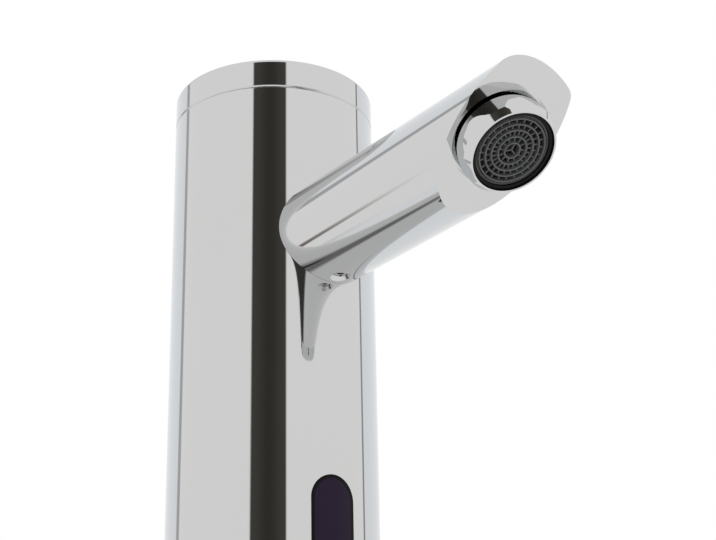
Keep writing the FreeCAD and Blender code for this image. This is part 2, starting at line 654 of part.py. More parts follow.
rubber_disc = Piece("diaphragm", y="-valve_front")
rubber_disc.turned([
    ("insert_dia/2+insert_gap", "valve_top"),
    ("diaphragm_dia/2", "valve_top"),
    ("diaphragm_dia/2", "valve_top+diaphragm_thick"),
    ("bonnet_chamber/2-insert_gap*2", "valve_top+diaphragm_thick"),
    ("bonnet_chamber/2-diaphragm_thick/2", "valve_top+diaphragm_thick/2"),
    ("insert_dia/2+insert_gap", "valve_top+diaphragm_thick/2"),
])

insert = Piece("diaphragm_insert", y="-valve_front")
insert.turned([
    ("pilot_dia/2", "valve_top-seat_sunk+seat_clear"),
    (SEAT_OUT, "valve_top-seat_sunk+seat_clear"),
    (SEAT_OUT, "valve_top+insert_lift"),
    ("insert_dia/2", "valve_top+insert_lift"),
    ("insert_dia/2", "valve_top+diaphragm_thick"),
    (SEAT_OUT, "valve_top+insert_high"),
    ("pilot_dia/2", "valve_top+insert_high"),
])

bonnet = Piece("valve_bonnet", y="-valve_front")
bonnet.turned([
    ("diaphragm_dia/2+slide_gap", "valve_top"),
    ("valve_dia/2", "valve_top"),
    ("valve_dia/2", "bonnet_top"),
    ("core_dia/2+slide_gap", "bonnet_top"),
    ("core_dia/2+slide_gap", "bonnet_top-bonnet_roof"),
    ("bonnet_chamber/2", "bonnet_top-bonnet_roof"),
    ("bonnet_chamber/2", "valve_top+diaphragm_thick"),
    ("diaphragm_dia/2+slide_gap", "valve_top+diaphragm_thick"),
])
passed = bonnet.drum("XY_Plane", SCREW_X, SCREW_X, "screw_dia/2",
                      "valve_top", "bonnet_top", cut=True)
bonnet.ring(passed, "4")

screws = []
for across in ("1", "-1"):
    for along in ("1", "-1"):
        x = "%s*(%s)" % (across, SCREW_X)
        y = "%s*(%s)-valve_front" % (along, SCREW_X)
        screws.append(rod("screw_dia/2-slide_gap", "bonnet_top-screw_length", "bonnet_top", x, y))
        screws.append(rod("screw_head/2", "bonnet_top", "bonnet_top+screw_head_height", x, y))
group("bonnet_screws", screws)

core = Piece("core_tube", y="-valve_front")
core.turned([
    ("core_dia/2-core_wall", "core_low"),
    ("core_flange/2", "core_low"),
    ("core_flange/2", "core_low+core_flange_thick"),
    ("core_dia/2", "core_low+core_flange_thick"),
    ("core_dia/2", "core_top"),
    ("0", "core_top"),
    ("0", "pole_low"),
    ("core_dia/2-core_wall", "pole_low"),
])

plunger = Piece("plunger", y="-valve_front")
PLUNGER_TOP = "plunger_low+plunger_length"
plunger.turned([
    ("0", "plunger_low"),
    ("plunger_tip/2", "plunger_low"),
    ("plunger_dia/2", "plunger_low+tip_long"),
    ("plunger_dia/2", PLUNGER_TOP),
    ("plunger_bore/2", PLUNGER_TOP),
    ("plunger_bore/2", PLUNGER_TOP + "-plunger_depth"),
    ("0", PLUNGER_TOP + "-plunger_depth"),
])

light_spring = Piece("plunger_spring", y="-valve_front")
light_spring.spring("plunger_coil", "plunger_wire", PLUNGER_TOP + "-plunger_depth+spring_clear",
                    "pole_low-spring_clear", "plunger_turns")

coil = Piece("solenoid_coil", y="-valve_front")
coil.turned([
    ("core_dia/2+slide_gap", "coil_low"),
    ("coil_dia/2", "coil_low"),
    ("coil_dia/2", "coil_low+coil_cheek"),
    ("coil_wind/2", "coil_low+coil_cheek"),
    ("coil_wind/2", "core_top-coil_cheek"),
    ("coil_dia/2", "core_top-coil_cheek"),
    ("coil_dia/2", "core_top"),
    ("core_dia/2+slide_gap", "core_top"),
])

YOKE = "coil_dia/2+yoke_gap"
yoke = Piece("coil_yoke", y="-valve_front")
yoke.block("YZ_Plane", lambda s: loop(s, [
    ("-(%s)-yoke_thick" % YOKE, "bonnet_top"),
    ("-(%s)" % YOKE, "bonnet_top"),
    ("-(%s)" % YOKE, "core_top"),
    (YOKE, "core_top"),
    (YOKE, "bonnet_top"),
    (YOKE + "+yoke_thick", "bonnet_top"),
    (YOKE + "+yoke_thick", "core_top+yoke_thick"),
    ("-(%s)-yoke_thick" % YOKE, "core_top+yoke_thick"),
]), "-yoke_width/2", "yoke_width/2")

# ---------------------------------------------------------------- outlet tube and block
RING_LOW = "tube_low+ring_edge"
RING_HIGH = "tube_high-ring_edge"
tube = Piece("outlet_tube", x="outlet_side", y="-valve_front")
tube.turned([
    ("tube_bore/2", "tube_low"),
    ("collar_dia/2", "tube_low"),
    ("collar_dia/2", RING_LOW),
    ("collar_dia/2-small_ring+slide_gap", RING_LOW),
    ("collar_dia/2-small_ring+slide_gap", RING_LOW + "+small_ring*1.2"),
    ("collar_dia/2", RING_LOW + "+small_ring*1.2"),
    ("collar_dia/2", "tube_low+collar_long"),
    ("tube_dia/2", "tube_low+collar_long"),
    ("tube_dia/2", "tube_high-collar_long"),
    ("collar_dia/2", "tube_high-collar_long"),
    ("collar_dia/2", RING_HIGH + "-small_ring*1.2"),
    ("collar_dia/2-small_ring+slide_gap", RING_HIGH + "-small_ring*1.2"),
    ("collar_dia/2-small_ring+slide_gap", RING_HIGH),
    ("collar_dia/2", RING_HIGH),
    ("collar_dia/2", "tube_high"),
    ("tube_bore/2", "tube_high"),
])
o_ring("outlet_tube_o_rings", "collar_dia/2+slide_gap-small_ring/2", "small_ring/2",
       [RING_LOW + "+small_ring*0.6", RING_HIGH + "-small_ring*0.6"], x="outlet_side", y="-valve_front")

outlet = Piece("outlet_block")
outlet.drum("XZ_Plane", "0", "spout_height", "block_dia/2", "-block_front", "block_back")
outlet.drum("XY_Plane", "outlet_side", "-valve_front", "lug_dia/2",
             "lug_low", "spout_height+bridge_high")
outlet.block("YZ_Plane", lambda s: box(
    s, "-valve_front-bridge_width/2", "-valve_front+bridge_width/2",
    "spout_height-bridge_low", "spout_height+bridge_high"), "0", "outlet_side")
outlet.drum("XZ_Plane", "0", "spout_height", "block_bore/2", "-block_front", "block_deep", cut=True)
outlet.drum("XZ_Plane", "0", "spout_height", "thread_dia/2+slide_gap",
             "-block_front", "-block_front+thread_long", cut=True)
outlet.drum("YZ_Plane", "-valve_front", "spout_height", "cross_bore/2",
             "0", "outlet_side", cut=True)
outlet.drum("XY_Plane", "outlet_side", "-valve_front", "cross_bore/2",
             "tube_high", "spout_height", cut=True)
outlet.drum("XY_Plane", "outlet_side", "-valve_front", "collar_dia/2+slide_gap",
             "lug_low", "tube_high", cut=True)

# The nipple's own Z axis runs out along the spout.
SLEEVE = "socket_dia/2-socket_gap"
nipple = Piece("spout_nipple", z="spout_height", turn="90")
nipple.turned([
    ("block_bore/2", "block_front-thread_long+socket_gap"),
    ("thread_dia/2", "block_front-thread_long+socket_gap"),
    ("thread_dia/2", "block_front"),
    (SLEEVE, "block_front"),
    (SLEEVE, "grub_reach-v_half"),
    (SLEEVE + "-v_half", "grub_reach"),
    (SLEEVE, "grub_reach+v_half"),
    (SLEEVE, "first_ring"),
    (SLEEVE + "-ring_depth+slide_gap", "first_ring"),
    (SLEEVE + "-ring_depth+slide_gap", "first_ring+ring_width"),
    (SLEEVE, "first_ring+ring_width"),
    (SLEEVE, "second_ring"),
    (SLEEVE + "-ring_depth+slide_gap", "second_ring"),
    (SLEEVE + "-ring_depth+slide_gap", "second_ring+ring_width"),
    (SLEEVE, "second_ring+ring_width"),
    (SLEEVE, "nipple_end-nipple_edge"),
    (SLEEVE + "-nipple_edge", "nipple_end"),
    ("block_bore/2", "nipple_end"),
])
o_ring("nipple_o_rings", "socket_dia/2-nipple_ring_dia/2", "nipple_ring_dia/2",
       ["first_ring+ring_width/2", "second_ring+ring_width/2"], z="spout_height", turn="90")

# ---------------------------------------------------------------- spout
SPOUT = "spout_dia/2"
OUTLET_Z = "spout_height-outlet_drop"
# A point of the slanted flat, and one step along it and one out of it, as (along Y, along Z).
FLAT_Y = "-outlet_reach+flat_setback*sin(aerator_tilt)"
FLAT_Z = OUTLET_Z + "+flat_setback*cos(aerator_tilt)"
spout = Piece("spout")
spout.drum("XZ_Plane", "0", "spout_height", SPOUT, "-spout_reach", "0")
spout.drum("XY_Plane", "0", "0", OUTER + "+seat_gap",
            "spout_height-spout_dia", "spout_height+spout_dia", cut=True)
spout.block("YZ_Plane", lambda s: loop(s, [
    (FLAT_Y + "+spout_dia*1.4*cos(aerator_tilt)", FLAT_Z + "-spout_dia*1.4*sin(aerator_tilt)"),
    (FLAT_Y + "-spout_dia*1.4*cos(aerator_tilt)", FLAT_Z + "+spout_dia*1.4*sin(aerator_tilt)"),
    (FLAT_Y + "-spout_dia*1.4*cos(aerator_tilt)-spout_dia*1.4*sin(aerator_tilt)",
     FLAT_Z + "+spout_dia*1.4*sin(aerator_tilt)-spout_dia*1.4*cos(aerator_tilt)"),
    (FLAT_Y + "+spout_dia*1.4*cos(aerator_tilt)-spout_dia*1.4*sin(aerator_tilt)",
     FLAT_Z + "-spout_dia*1.4*sin(aerator_tilt)-spout_dia*1.4*cos(aerator_tilt)"),
]), "-spout_dia", "spout_dia", cut=True)
spout.round("blend_radius", lambda edge: (
    abs(edge.BoundBox.YMin + value("spout_reach")) < 0.001
    and abs(edge.BoundBox.YMax + value("spout_reach")) < 0.001
    and edge.BoundBox.ZLength < 0.001))
spout.drum("XZ_Plane", "0", "spout_height", "socket_dia/2", "-socket_end", "-block_front", cut=True)
spout.drum("XZ_Plane", "0", "spout_height+channel_rise", "channel_dia/2",
            "-channel_end", "-socket_end+nipple_edge", cut=True)
spout.turned([
    ("0", "flat_setback-recess_depth"),
    ("recess_dia/2", "flat_setback-recess_depth"),
    ("recess_dia/2", "flat_setback+recess_depth"),
    ("bore_dia/2", "flat_setback+recess_depth"),
    ("bore_dia/2", "flat_setback+seat_depth"),
    ("chamber_dia/2", "flat_setback+seat_depth"),
    ("chamber_dia/2", "flat_setback+seat_depth+chamber_depth"),
    ("0", "flat_setback+seat_depth+chamber_depth"),
], cut=True, role="YZ_Plane", shift=("-outlet_reach", OUTLET_Z, "0"),
    spin=(Vector(0, 0, 1), "-aerator_tilt"))
UNDER = "spout_height-spout_dia/2"
spout.turned([
    ("0", UNDER + "-sink_deep"),
    ("sink_dia/2+sink_deep", UNDER + "-sink_deep"),
    ("grub_dia/2+slide_gap", UNDER + "+sink_dia/2-grub_dia/2-slide_gap"),
    ("grub_dia/2+slide_gap", UNDER + "+spout_wall*1.5"),
    ("0", UNDER + "+spout_wall*1.5"),
], cut=True, role="YZ_Plane", shift=("-grub_reach", "0", "0"))

GRUB_TIP = "spout_height-(%s)+v_bite" % SLEEVE
grub = Piece("spout_grub_screw", y="-grub_reach")
grub.turned([
    ("0", UNDER + "+sink_deep"),
    ("grub_dia/2", UNDER + "+sink_deep"),
    ("grub_dia/2", GRUB_TIP + "-grub_dia/2"),
    ("grub_dia/12", GRUB_TIP),
    ("0", GRUB_TIP),
])
grub.block("XY_Plane", lambda s: hexagon(s, "0", "0", "hex_key"),
           UNDER + "+sink_deep", UNDER + "+sink_deep+hex_depth", cut=True)

# ---------------------------------------------------------------- aerator
# Each piece's own Z axis runs up into the spout from the centre of the ring's front plane.
AERATOR = dict(y="-outlet_reach", z=OUTLET_Z, turn="-aerator_tilt")
SHOULDER = "flat_setback+recess_depth-seat_gap"
THREAD_END = "flat_setback+seat_depth-washer_thick"

housing = Piece("aerator_housing", **AERATOR)
housing.turned([
    ("ring_bore/2", "0"),
    ("front_round/2", "0"),
    ("flange_dia/2", "front_chamfer"),
    ("flange_dia/2", SHOULDER),
    ("thread_outer/2", SHOULDER),
    ("thread_outer/2", THREAD_END),
    ("inner_bore/2", THREAD_END),
    ("inner_bore/2", "cage_seat"),
    ("ring_bore/2", "cage_seat"),
])
flat = housing.block("XZ_Plane", lambda s: loop(s, [
    ("wrench_near-front_chamfer*tan(wrench_tilt)", "-front_chamfer"),
    ("flange_dia/2+front_chamfer", "-front_chamfer"),
    ("flange_dia/2+front_chamfer", "(flange_dia/2+front_chamfer-wrench_near)/tan(wrench_tilt)"),
]), "-flange_dia/2", "flange_dia/2", cut=True, yaw="wrench_turn")
housing.ring(flat, "wrench_count")

washer = Piece("aerator_gasket", **AERATOR)
washer.turned([
    ("gasket_inner/2", THREAD_END),
    ("thread_outer/2-gasket_edge", THREAD_END),
    ("thread_outer/2-gasket_edge", "flat_setback+seat_depth"),
    ("gasket_inner/2", "flat_setback+seat_depth"),
])

GRILLE_BACK = "grille_front+grille_thick"
cage = Piece("aerator_cage", **AERATOR)
cage.turned([
    ("grille_dia/2+fit_gap", "cage_front"),
    ("cage_dia/2-cage_edge", "cage_front"),
    ("cage_dia/2", "cage_front+cage_edge"),
    ("cage_dia/2", "cage_seat"),
    ("cage_floor/2", "cage_seat"),
    ("cage_floor/2", GRILLE_BACK),
    ("grille_dia/2+fit_gap", GRILLE_BACK),
])

# The grille: ring walls stepping outwards and short ribs between them, staggered ring by ring.
grille = Piece("aerator_grille", **AERATOR)
grille.turned([
    ("0", "grille_front"),
    ("grille_dia/2", "grille_front"),
    ("grille_dia/2", GRILLE_BACK),
    ("0", GRILLE_BACK),
])


def cells(inner, outer, count, stagger):
    """One ring of cells through the grille, with ribs of even width between them."""
    near = "%s+ring_wall/2" % inner
    far = "%s-ring_wall/2" % outer
    half = "180deg/%s" % count

    def outline(sketch):
        corners = []
        for radius in (near, far):
            turned = "(%s-asin(rib_wall/2/(%s)))" % (half, radius)
            corners.append((radius, turned))
        points = []
        turns = ((corners[0], "-"), (corners[1], "-"), (corners[1], ""), (corners[0], ""))
        for (radius, turned), sign in turns:
            angle = "(%s*%s+%s%s)" % (stagger, half, sign, turned)
            points.append(("(%s)*cos(%s)" % (radius, angle), "(%s)*sin(%s)" % (radius, angle)))
        loop(sketch, points)
    cell = grille.block("XY_Plane", outline, "grille_front", GRILLE_BACK, cut=True)
    grille.ring(cell, count)


cells("hub_ring", "ring_one", "inner_cells", "0")
cells("ring_one", "ring_two", "outer_cells", "0")
cells("ring_two", "ring_three", "outer_cells", "1")
cells("ring_three", "ring_four", "outer_cells", "0")
hub_cell = grille.block("XY_Plane", lambda s: loop(s, [
    ("hub_web", "hub_web"),
    ("hub_ring-ring_wall/2-hub_web*0.5", "hub_web"),
    ("(hub_ring-ring_wall/2)*cos(45)", "(hub_ring-ring_wall/2)*cos(45)"),
    ("hub_web", "hub_ring-ring_wall/2-hub_web*0.5"),
]), "grille_front", GRILLE_BACK, cut=True)
grille.ring(hub_cell, "hub_cells")

screen = Piece("aerator_screen", **AERATOR)
screen.turned([
    ("0", GRILLE_BACK + "+screen_gap"),
    ("cage_floor/2-fit_gap", GRILLE_BACK + "+screen_gap"),
    ("cage_floor/2-fit_gap", GRILLE_BACK + "+screen_gap+screen_thick"),
    ("0", GRILLE_BACK + "+screen_gap+screen_thick"),
])

FLOOR_LOW = "cage_seat+screen_gap"
FLOOR_TOP = FLOOR_LOW + "+regulator_floor"
regulator = Piece("flow_regulator", **AERATOR)
regulator.turned([
    ("0", FLOOR_LOW),
    ("inner_bore/2-fit_gap", FLOOR_LOW),
    ("inner_bore/2-fit_gap", "regulator_high-regulator_rim/2"),
    ("inner_bore/2-regulator_rim/2", "regulator_high"),
    ("inner_bore/2-regulator_rim", "regulator_high"),
    ("inner_bore/2-regulator_rim", FLOOR_TOP),
    ("regulator_cone/2", FLOOR_TOP),
    ("cone_tip/2", "regulator_high"),
    ("0", "regulator_high"),
])
port = regulator.drum("XY_Plane", "hole_ring/2", "0", "regulator_hole/2",
                       FLOOR_LOW, FLOOR_TOP, cut=True)
regulator.ring(port, "regulator_holes")

# ---------------------------------------------------------------- sensor
window = Piece("sensor_window")
window.block("XZ_Plane", lambda s: stadium(
    s, "window_low+window_gap", "window_top-window_gap", "window_width-window_gap*2"),
    "-(body_dia/2+1)", "-(body_dia/2-6)")
window.turned([
    (OUTER, "window_low-1"), (OUTER + "+6", "window_low-1"), (OUTER + "+6", "window_top+1"),
    (OUTER, "window_top+1"),
], cut=True)
window.turned([
    ("0", "window_low-1"), (INNER, "window_low-1"), (INNER, "window_top+1"), ("0", "window_top+1"),
], cut=True)


def trim(piece, radius):
    """Cut away what stands outside an upright cylinder about the tap's axis."""
    piece.turned([
        (radius, "holder_low-2"), (OUTER + "+6", "holder_low-2"), (OUTER + "+6", "holder_top+2"),
        (radius, "holder_top+2"),
    ], cut=True)


LAND = "window_width-2*window_land"
seal = Piece("window_gasket")
seal.block("XZ_Plane", lambda s: stadium(
    s, "window_low+seal_edge", "window_top-seal_edge", "window_width-2*seal_edge"),
           "-(%s)" % INNER, "-holder_front")
seal.block("XZ_Plane", lambda s: stadium(s, "window_low+window_land", "window_top-window_land", LAND),
           "-(%s)" % INNER, "-holder_front", cut=True)
trim(seal, INNER + "-slide_gap")

holder = Piece("sensor_holder")
holder.block("XZ_Plane", lambda s: box(s, "-holder_half", "holder_half", "holder_low", "holder_top"),
             "-holder_front", "-holder_back")
holder.block("XZ_Plane", lambda s: stadium(s, "window_low+window_land", "window_top-window_land", LAND),
             "-holder_front", "-holder_front+holder_wall", cut=True)
holder.block("XZ_Plane", lambda s: box(
    s, "-holder_half+holder_wall", "holder_half-holder_wall", "holder_low+holder_wall",
    "holder_top-holder_wall"), "-holder_front+holder_wall", "-holder_back", cut=True)
trim(holder, INNER + "-slide_gap")

board = Piece("sensor_board")
board.block("XZ_Plane", lambda s: box(
    s, "-holder_half+holder_wall+fit_gap", "holder_half-holder_wall-fit_gap",
    "holder_low+holder_wall+fit_gap", "holder_top-holder_wall-fit_gap"),
    "-board_front", "-board_front+board_thick")

for label, height in (("ir_emitter", "emitter_height"), ("ir_receiver", "receiver_height")):
    lens = Piece(label, y="-board_front", z=height, turn="90")
    lens.turned([
        ("0", "0"),
        ("lens_dia/2+lens_rim", "0"),
        ("lens_dia/2+lens_rim", "lens_foot"),
        ("lens_dia/2", "lens_foot"),
        ("lens_dia/2", "lens_front-board_front-lens_round"),
        ("lens_dia/4", "lens_front-board_front-lens_round*0.2"),
        ("0", "lens_front-board_front"),
    ])

module = Piece("control_module")
module.block("XY_Plane", lambda s: box(s, "-module_half", "module_half", "-module_front", "-module_back"),
             "module_low", "module_top")

# ---------------------------------------------------------------- inner frame and battery
SPINE = "block_back"
frame = Piece("inner_frame")
frame.block("XY_Plane", lambda s: box(s, "-spine_half", "spine_half", SPINE, SPINE + "+spine_thick"),
            "plug_top", "spine_top")
frame.block("XY_Plane", lambda s: box(s, "-spine_half", "spine_half", SPINE, "foot_back"),
            "plug_top", "plug_top+foot_thick")
frame.block("XY_Plane", lambda s: box(
    s, "-shelf_half", "shelf_half", "-shelf_front", SPINE + "+spine_thick/2"),
            "shelf_low", "shelf_low+spine_thick")
for side in ("-frame_screw_x", "frame_screw_x"):
    frame.drum("XY_Plane", side, "frame_screw_y", "screw_dia/2",
                "plug_top", "plug_top+foot_thick", cut=True)

members = []
for side in ("-frame_screw_x", "frame_screw_x"):
    seat = "plug_top+foot_thick"
    members.append(rod("screw_dia/2-slide_gap", "plug_top-frame_screw_deep", seat, side, "frame_screw_y"))
    members.append(rod("frame_head/2", seat, seat + "+frame_head_high", side, "frame_screw_y"))
group("frame_screws", members)

TRAY = "shelf_low+spine_thick"
WIDE = "battery_wide/2+fit_gap*2"
DEEP = "battery_deep/2+fit_gap*2"
tray = Piece("battery_holder")
tray.block("XY_Plane", lambda s: box(
    s, "-(%s)-tray_wall" % WIDE, WIDE + "+tray_wall", "-(%s)-tray_wall" % DEEP, DEEP + "+tray_wall/2"),
    TRAY, TRAY + "+tray_high")
tray.block("XY_Plane", lambda s: box(s, "-(%s)" % WIDE, WIDE, "-(%s)" % DEEP, DEEP),
           TRAY + "+tray_floor", TRAY + "+tray_high", cut=True)

cell_block = Piece("battery")
cell_block.block("XY_Plane", lambda s: box(
    s, "-battery_wide/2", "battery_wide/2", "-battery_deep/2", "battery_deep/2"),
    TRAY + "+tray_floor", TRAY + "+tray_floor+battery_high")

CONTACT = TRAY + "+tray_floor+battery_high"
strips = []
for side in ("-contact_x", "contact_x"):
    strip = doc.addObject("Part::Box", "strip")
    bind(strip, "Length", "contact_wide")
    bind(strip, "Width", "contact_wide*2")
    bind(strip, "Height", "contact_thick")
    bind(strip, ".Placement.Base.x", side + "-contact_wide/2")
    bind(strip, ".Placement.Base.y", "-contact_wide")
    bind(strip, ".Placement.Base.z", CONTACT)
    strips.append(strip)
group("battery_contacts", strips)

# ---------------------------------------------------------------- checks and files
doc.recompute()
for item in doc.Objects:
    for word in ("Invalid", "Error"):
        if word in item.State:
            raise RuntimeError("%s is %s" % (item.Label, word))
for piece in pieces:
    if piece.Shape.isNull() or not piece.Shape.isValid():
        raise RuntimeError("%s has no valid shape" % piece.Label)
for piece in pieces:
    piece.Shape.exportStep("parts/%s.step" % piece.Label)
    print("%-22s %9.1f mm3" % (piece.Label, piece.Shape.Volume))
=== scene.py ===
# %% [markdown]
# # A sensor tap in chrome
#
# The solids of this tap already exist, each at its real size and place. This lesson gives them
# their looks: a studio that polished metal can mirror, exact normals so that the mirror doesn't
# wobble, a moulded grille, a rolled thread and a woven screen grown with Geometry Nodes, and a
# procedural finish for every piece, inside and out.

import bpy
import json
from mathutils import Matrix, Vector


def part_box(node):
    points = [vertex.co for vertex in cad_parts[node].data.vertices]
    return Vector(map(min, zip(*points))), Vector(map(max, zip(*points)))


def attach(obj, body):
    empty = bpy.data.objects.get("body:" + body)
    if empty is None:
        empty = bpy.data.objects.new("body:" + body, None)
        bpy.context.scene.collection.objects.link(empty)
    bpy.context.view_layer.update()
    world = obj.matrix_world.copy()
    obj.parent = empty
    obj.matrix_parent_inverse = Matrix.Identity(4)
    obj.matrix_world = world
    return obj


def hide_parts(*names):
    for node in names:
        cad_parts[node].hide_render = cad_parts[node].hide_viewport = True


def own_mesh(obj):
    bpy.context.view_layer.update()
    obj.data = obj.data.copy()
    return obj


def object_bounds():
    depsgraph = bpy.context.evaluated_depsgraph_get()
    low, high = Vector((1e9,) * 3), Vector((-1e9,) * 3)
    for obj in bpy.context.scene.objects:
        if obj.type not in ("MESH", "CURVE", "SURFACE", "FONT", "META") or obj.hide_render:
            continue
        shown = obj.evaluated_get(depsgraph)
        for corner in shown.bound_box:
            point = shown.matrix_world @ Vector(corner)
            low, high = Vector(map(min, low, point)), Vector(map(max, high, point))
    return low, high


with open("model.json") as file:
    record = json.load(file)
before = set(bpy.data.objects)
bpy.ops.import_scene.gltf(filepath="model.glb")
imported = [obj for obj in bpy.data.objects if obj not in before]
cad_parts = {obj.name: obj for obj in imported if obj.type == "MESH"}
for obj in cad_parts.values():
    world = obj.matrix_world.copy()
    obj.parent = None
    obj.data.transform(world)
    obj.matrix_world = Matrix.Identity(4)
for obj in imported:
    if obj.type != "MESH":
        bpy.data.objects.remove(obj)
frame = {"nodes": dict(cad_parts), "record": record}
cad_box = [list(map(float, corner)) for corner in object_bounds()]
print("nodes:", len(frame["nodes"]), "box:", cad_box)

# %% Modules and units
import json
import math

import bmesh
import bpy
import numpy as np
from mathutils import Matrix, Vector

MM = 0.001
DEGREE = math.radians(1)

# %% [markdown]
# ## Where things are
#
# Most places can be read from the solids' boxes. The outlet is tilted, so its own box says
# little: its centre and tilt are written down as the real sizes they are.

# %% Read the places from the solids
casing_low, casing_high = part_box("body_casing")
spout_low, spout_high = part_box("spout")
cap_low, cap_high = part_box("top_cap")
shank_low, shank_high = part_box("threaded_shank")

body_radius = casing_high.x
spout_radius = spout_high.x
spout_level = (spout_low.z + spout_high.z) / 2
outlet_reach = 109.1 * MM
outlet_drop = 7.5 * MM
outlet_tilt = 36 * DEGREE
outlet_centre = Vector((0, -outlet_reach, spout_level - outlet_drop))
outlet_place = Matrix.Translation(outlet_centre) @ Matrix.Rotation(-outlet_tilt, 4, "X")
outlet_axis = outlet_place.to_3x3() @ Vector((0, 0, 1))
print("body radius %.4f, spout axis at %.4f, outlet axis %s" % (body_radius, spout_level, outlet_axis))

# %% [markdown]
# ## The camera
#
# The picture is taken from low down in front of the spout's left side, close up, with a long
# lens: the tap's foot is out of the frame and the outlet's underside faces the viewer. The
# camera stands on a circle round the tap, looks up, and is panned and rolled a little. Building
# its matrix from those angles keeps every number readable.

# %% Set up the camera
camera_side = -32.855 * DEGREE
camera_distance = 455.13 * MM
camera_below_spout = 191.19 * MM
camera_pan = 3.166 * DEGREE
camera_pitch = 22.68 * DEGREE
camera_roll = -1.053 * DEGREE
camera_lens = 83.27

up = Vector((0, 0, 1))
ahead = Vector((-math.sin(camera_side), math.cos(camera_side), 0))
right = Vector((math.cos(camera_side), math.sin(camera_side), 0))
panned = ahead * math.cos(camera_pan) + right * math.sin(camera_pan)
right = right * math.cos(camera_pan) - ahead * math.sin(camera_pan)
looking = panned * math.cos(camera_pitch) + up * math.sin(camera_pitch)
above = up * math.cos(camera_pitch) - panned * math.sin(camera_pitch)
level = right * math.cos(camera_roll) + above * math.sin(camera_roll)
above = above * math.cos(camera_roll) - right * math.sin(camera_roll)

camera = bpy.data.objects.new("camera", bpy.data.cameras.new("camera"))
bpy.context.scene.collection.objects.link(camera)
camera.data.lens = camera_lens
camera.data.clip_start = 1 * MM
camera.matrix_world = Matrix.Translation(Vector((
    math.sin(camera_side) * camera_distance,
    -math.cos(camera_side) * camera_distance,
    spout_level - camera_below_spout,
))) @ Matrix((level, above, -looking)).transposed().to_4x4()
bpy.context.scene.camera = camera
bpy.context.scene.view_settings.view_transform = "Standard"
print("camera at", camera.matrix_world.translation)

# %% [markdown]
# ## Writing node trees as maths
#
# A shader or a Geometry Nodes tree is a graph, but its numbers read best as formulas. `Wire`
# wraps one socket and turns `+ - * /` into Math nodes. Sums and differences may also start with
# a plain number, so `1 - mask` works.
# `Graph.node` makes any other node: its settings first, then the values or wires of its sockets.

# %% A wire that does maths
class Wire:
    """One output socket of a node tree."""

    def __init__(self, graph, socket):
        self.graph = graph
        self.socket = socket

    def out(self, name):
        """Another output of the same node."""
        return Wire(self.graph, self.socket.node.outputs[name])

    def maths(self, operation, *values):
        return self.graph.node("ShaderNodeMath", {"operation": operation}, dict(enumerate(values)))

    def __add__(self, other):
        return self.maths("ADD", self, other)

    def __radd__(self, other):
        return self.maths("ADD", other, self)

    def __sub__(self, other):
        return self.maths("SUBTRACT", self, other)

    def __rsub__(self, other):
        return self.maths("SUBTRACT", other, self)

    def __mul__(self, other):
        return self.maths("MULTIPLY", self, other)

    def __truediv__(self, other):
        return self.maths("DIVIDE", self, other)

    def most(self, other):
        return self.maths("MAXIMUM", self, other)


# %% A graph that makes nodes
class Graph:
    """A node tree, shader or geometry, with one method that makes its nodes."""

    def __init__(self, tree):
        self.tree = tree
        tree.nodes.clear()

    def node(self, kind, settings=None, sockets=None):
        """A node with its settings and sockets filled in, as the wire of its first output."""
        made = self.tree.nodes.new(kind)
        for name, setting in (settings or {}).items():
            setattr(made, name, setting)
        for name, given in (sockets or {}).items():
            if isinstance(given, Wire):
                self.tree.links.new(given.socket, made.inputs[name])
            else:
                made.inputs[name].default_value = given
        return Wire(self, made.outputs[0]) if made.outputs else made

    def xyz(self, vector):
        """The three parts of a vector."""
        x = self.node("ShaderNodeSeparateXYZ", sockets={"Vector": vector})
        return x, x.out("Y"), x.out("Z")

    def smooth(self, value, low, high):
        """0 below low, 1 above high, and a soft step between."""
        return self.node("ShaderNodeMapRange", {"interpolation_type": "SMOOTHSTEP"},
                         {"Value": value, "From Min": low, "From Max": high})

    def between(self, value, low, high, soft):
        """1 between two limits with soft edges, 0 outside."""
        above_low = self.smooth(value, low - soft, low + soft)
        return above_low * (1 - self.smooth(value, high - soft, high + soft))

    def mix(self, share, first, second):
        """A colour that goes from first to second."""
        mixed = self.node("ShaderNodeMix", {"data_type": "RGBA"}, {0: share, 6: first, 7: second})
        return mixed.out(2)


# %% [markdown]
# ## The studio
#
# Chrome has no colour of its own: it shows the room. So the room is designed first, as a light
# that depends only on direction. The tap mirrors a pale studio with one tall dark flag behind
# the camera, two thin grey seams, a short brown ledge, a bright streak, and slightly cooler walls
# to the right and behind. Rays that look for the background see plain white, and rays that light
# rough surfaces see an even grey.
#
# All directions are in degrees. The side is 0 at -Y and grows towards +X, and the height is 0 at
# the horizon. A band is where it starts, where it ends and how soft its edges are. A ramp is
# where a soft step starts and where it is done.

# %% The room that the chrome mirrors
WARM_WALL = (0.995, 0.995, 0.980, 1)
COOL_WALL = (0.960, 0.980, 1.0, 1)
FLAG = (0.042, 0.039, 0.033, 1)
FLAG_EDGE = (0.066, 0.062, 0.056, 1)
SEAM = (0.30, 0.30, 0.32, 1)
LEDGE = (0.17, 0.13, 0.12, 1)
WHITE = (1, 1, 1, 1)
ROOM_LIGHT = (0.76, 0.76, 0.76, 1)

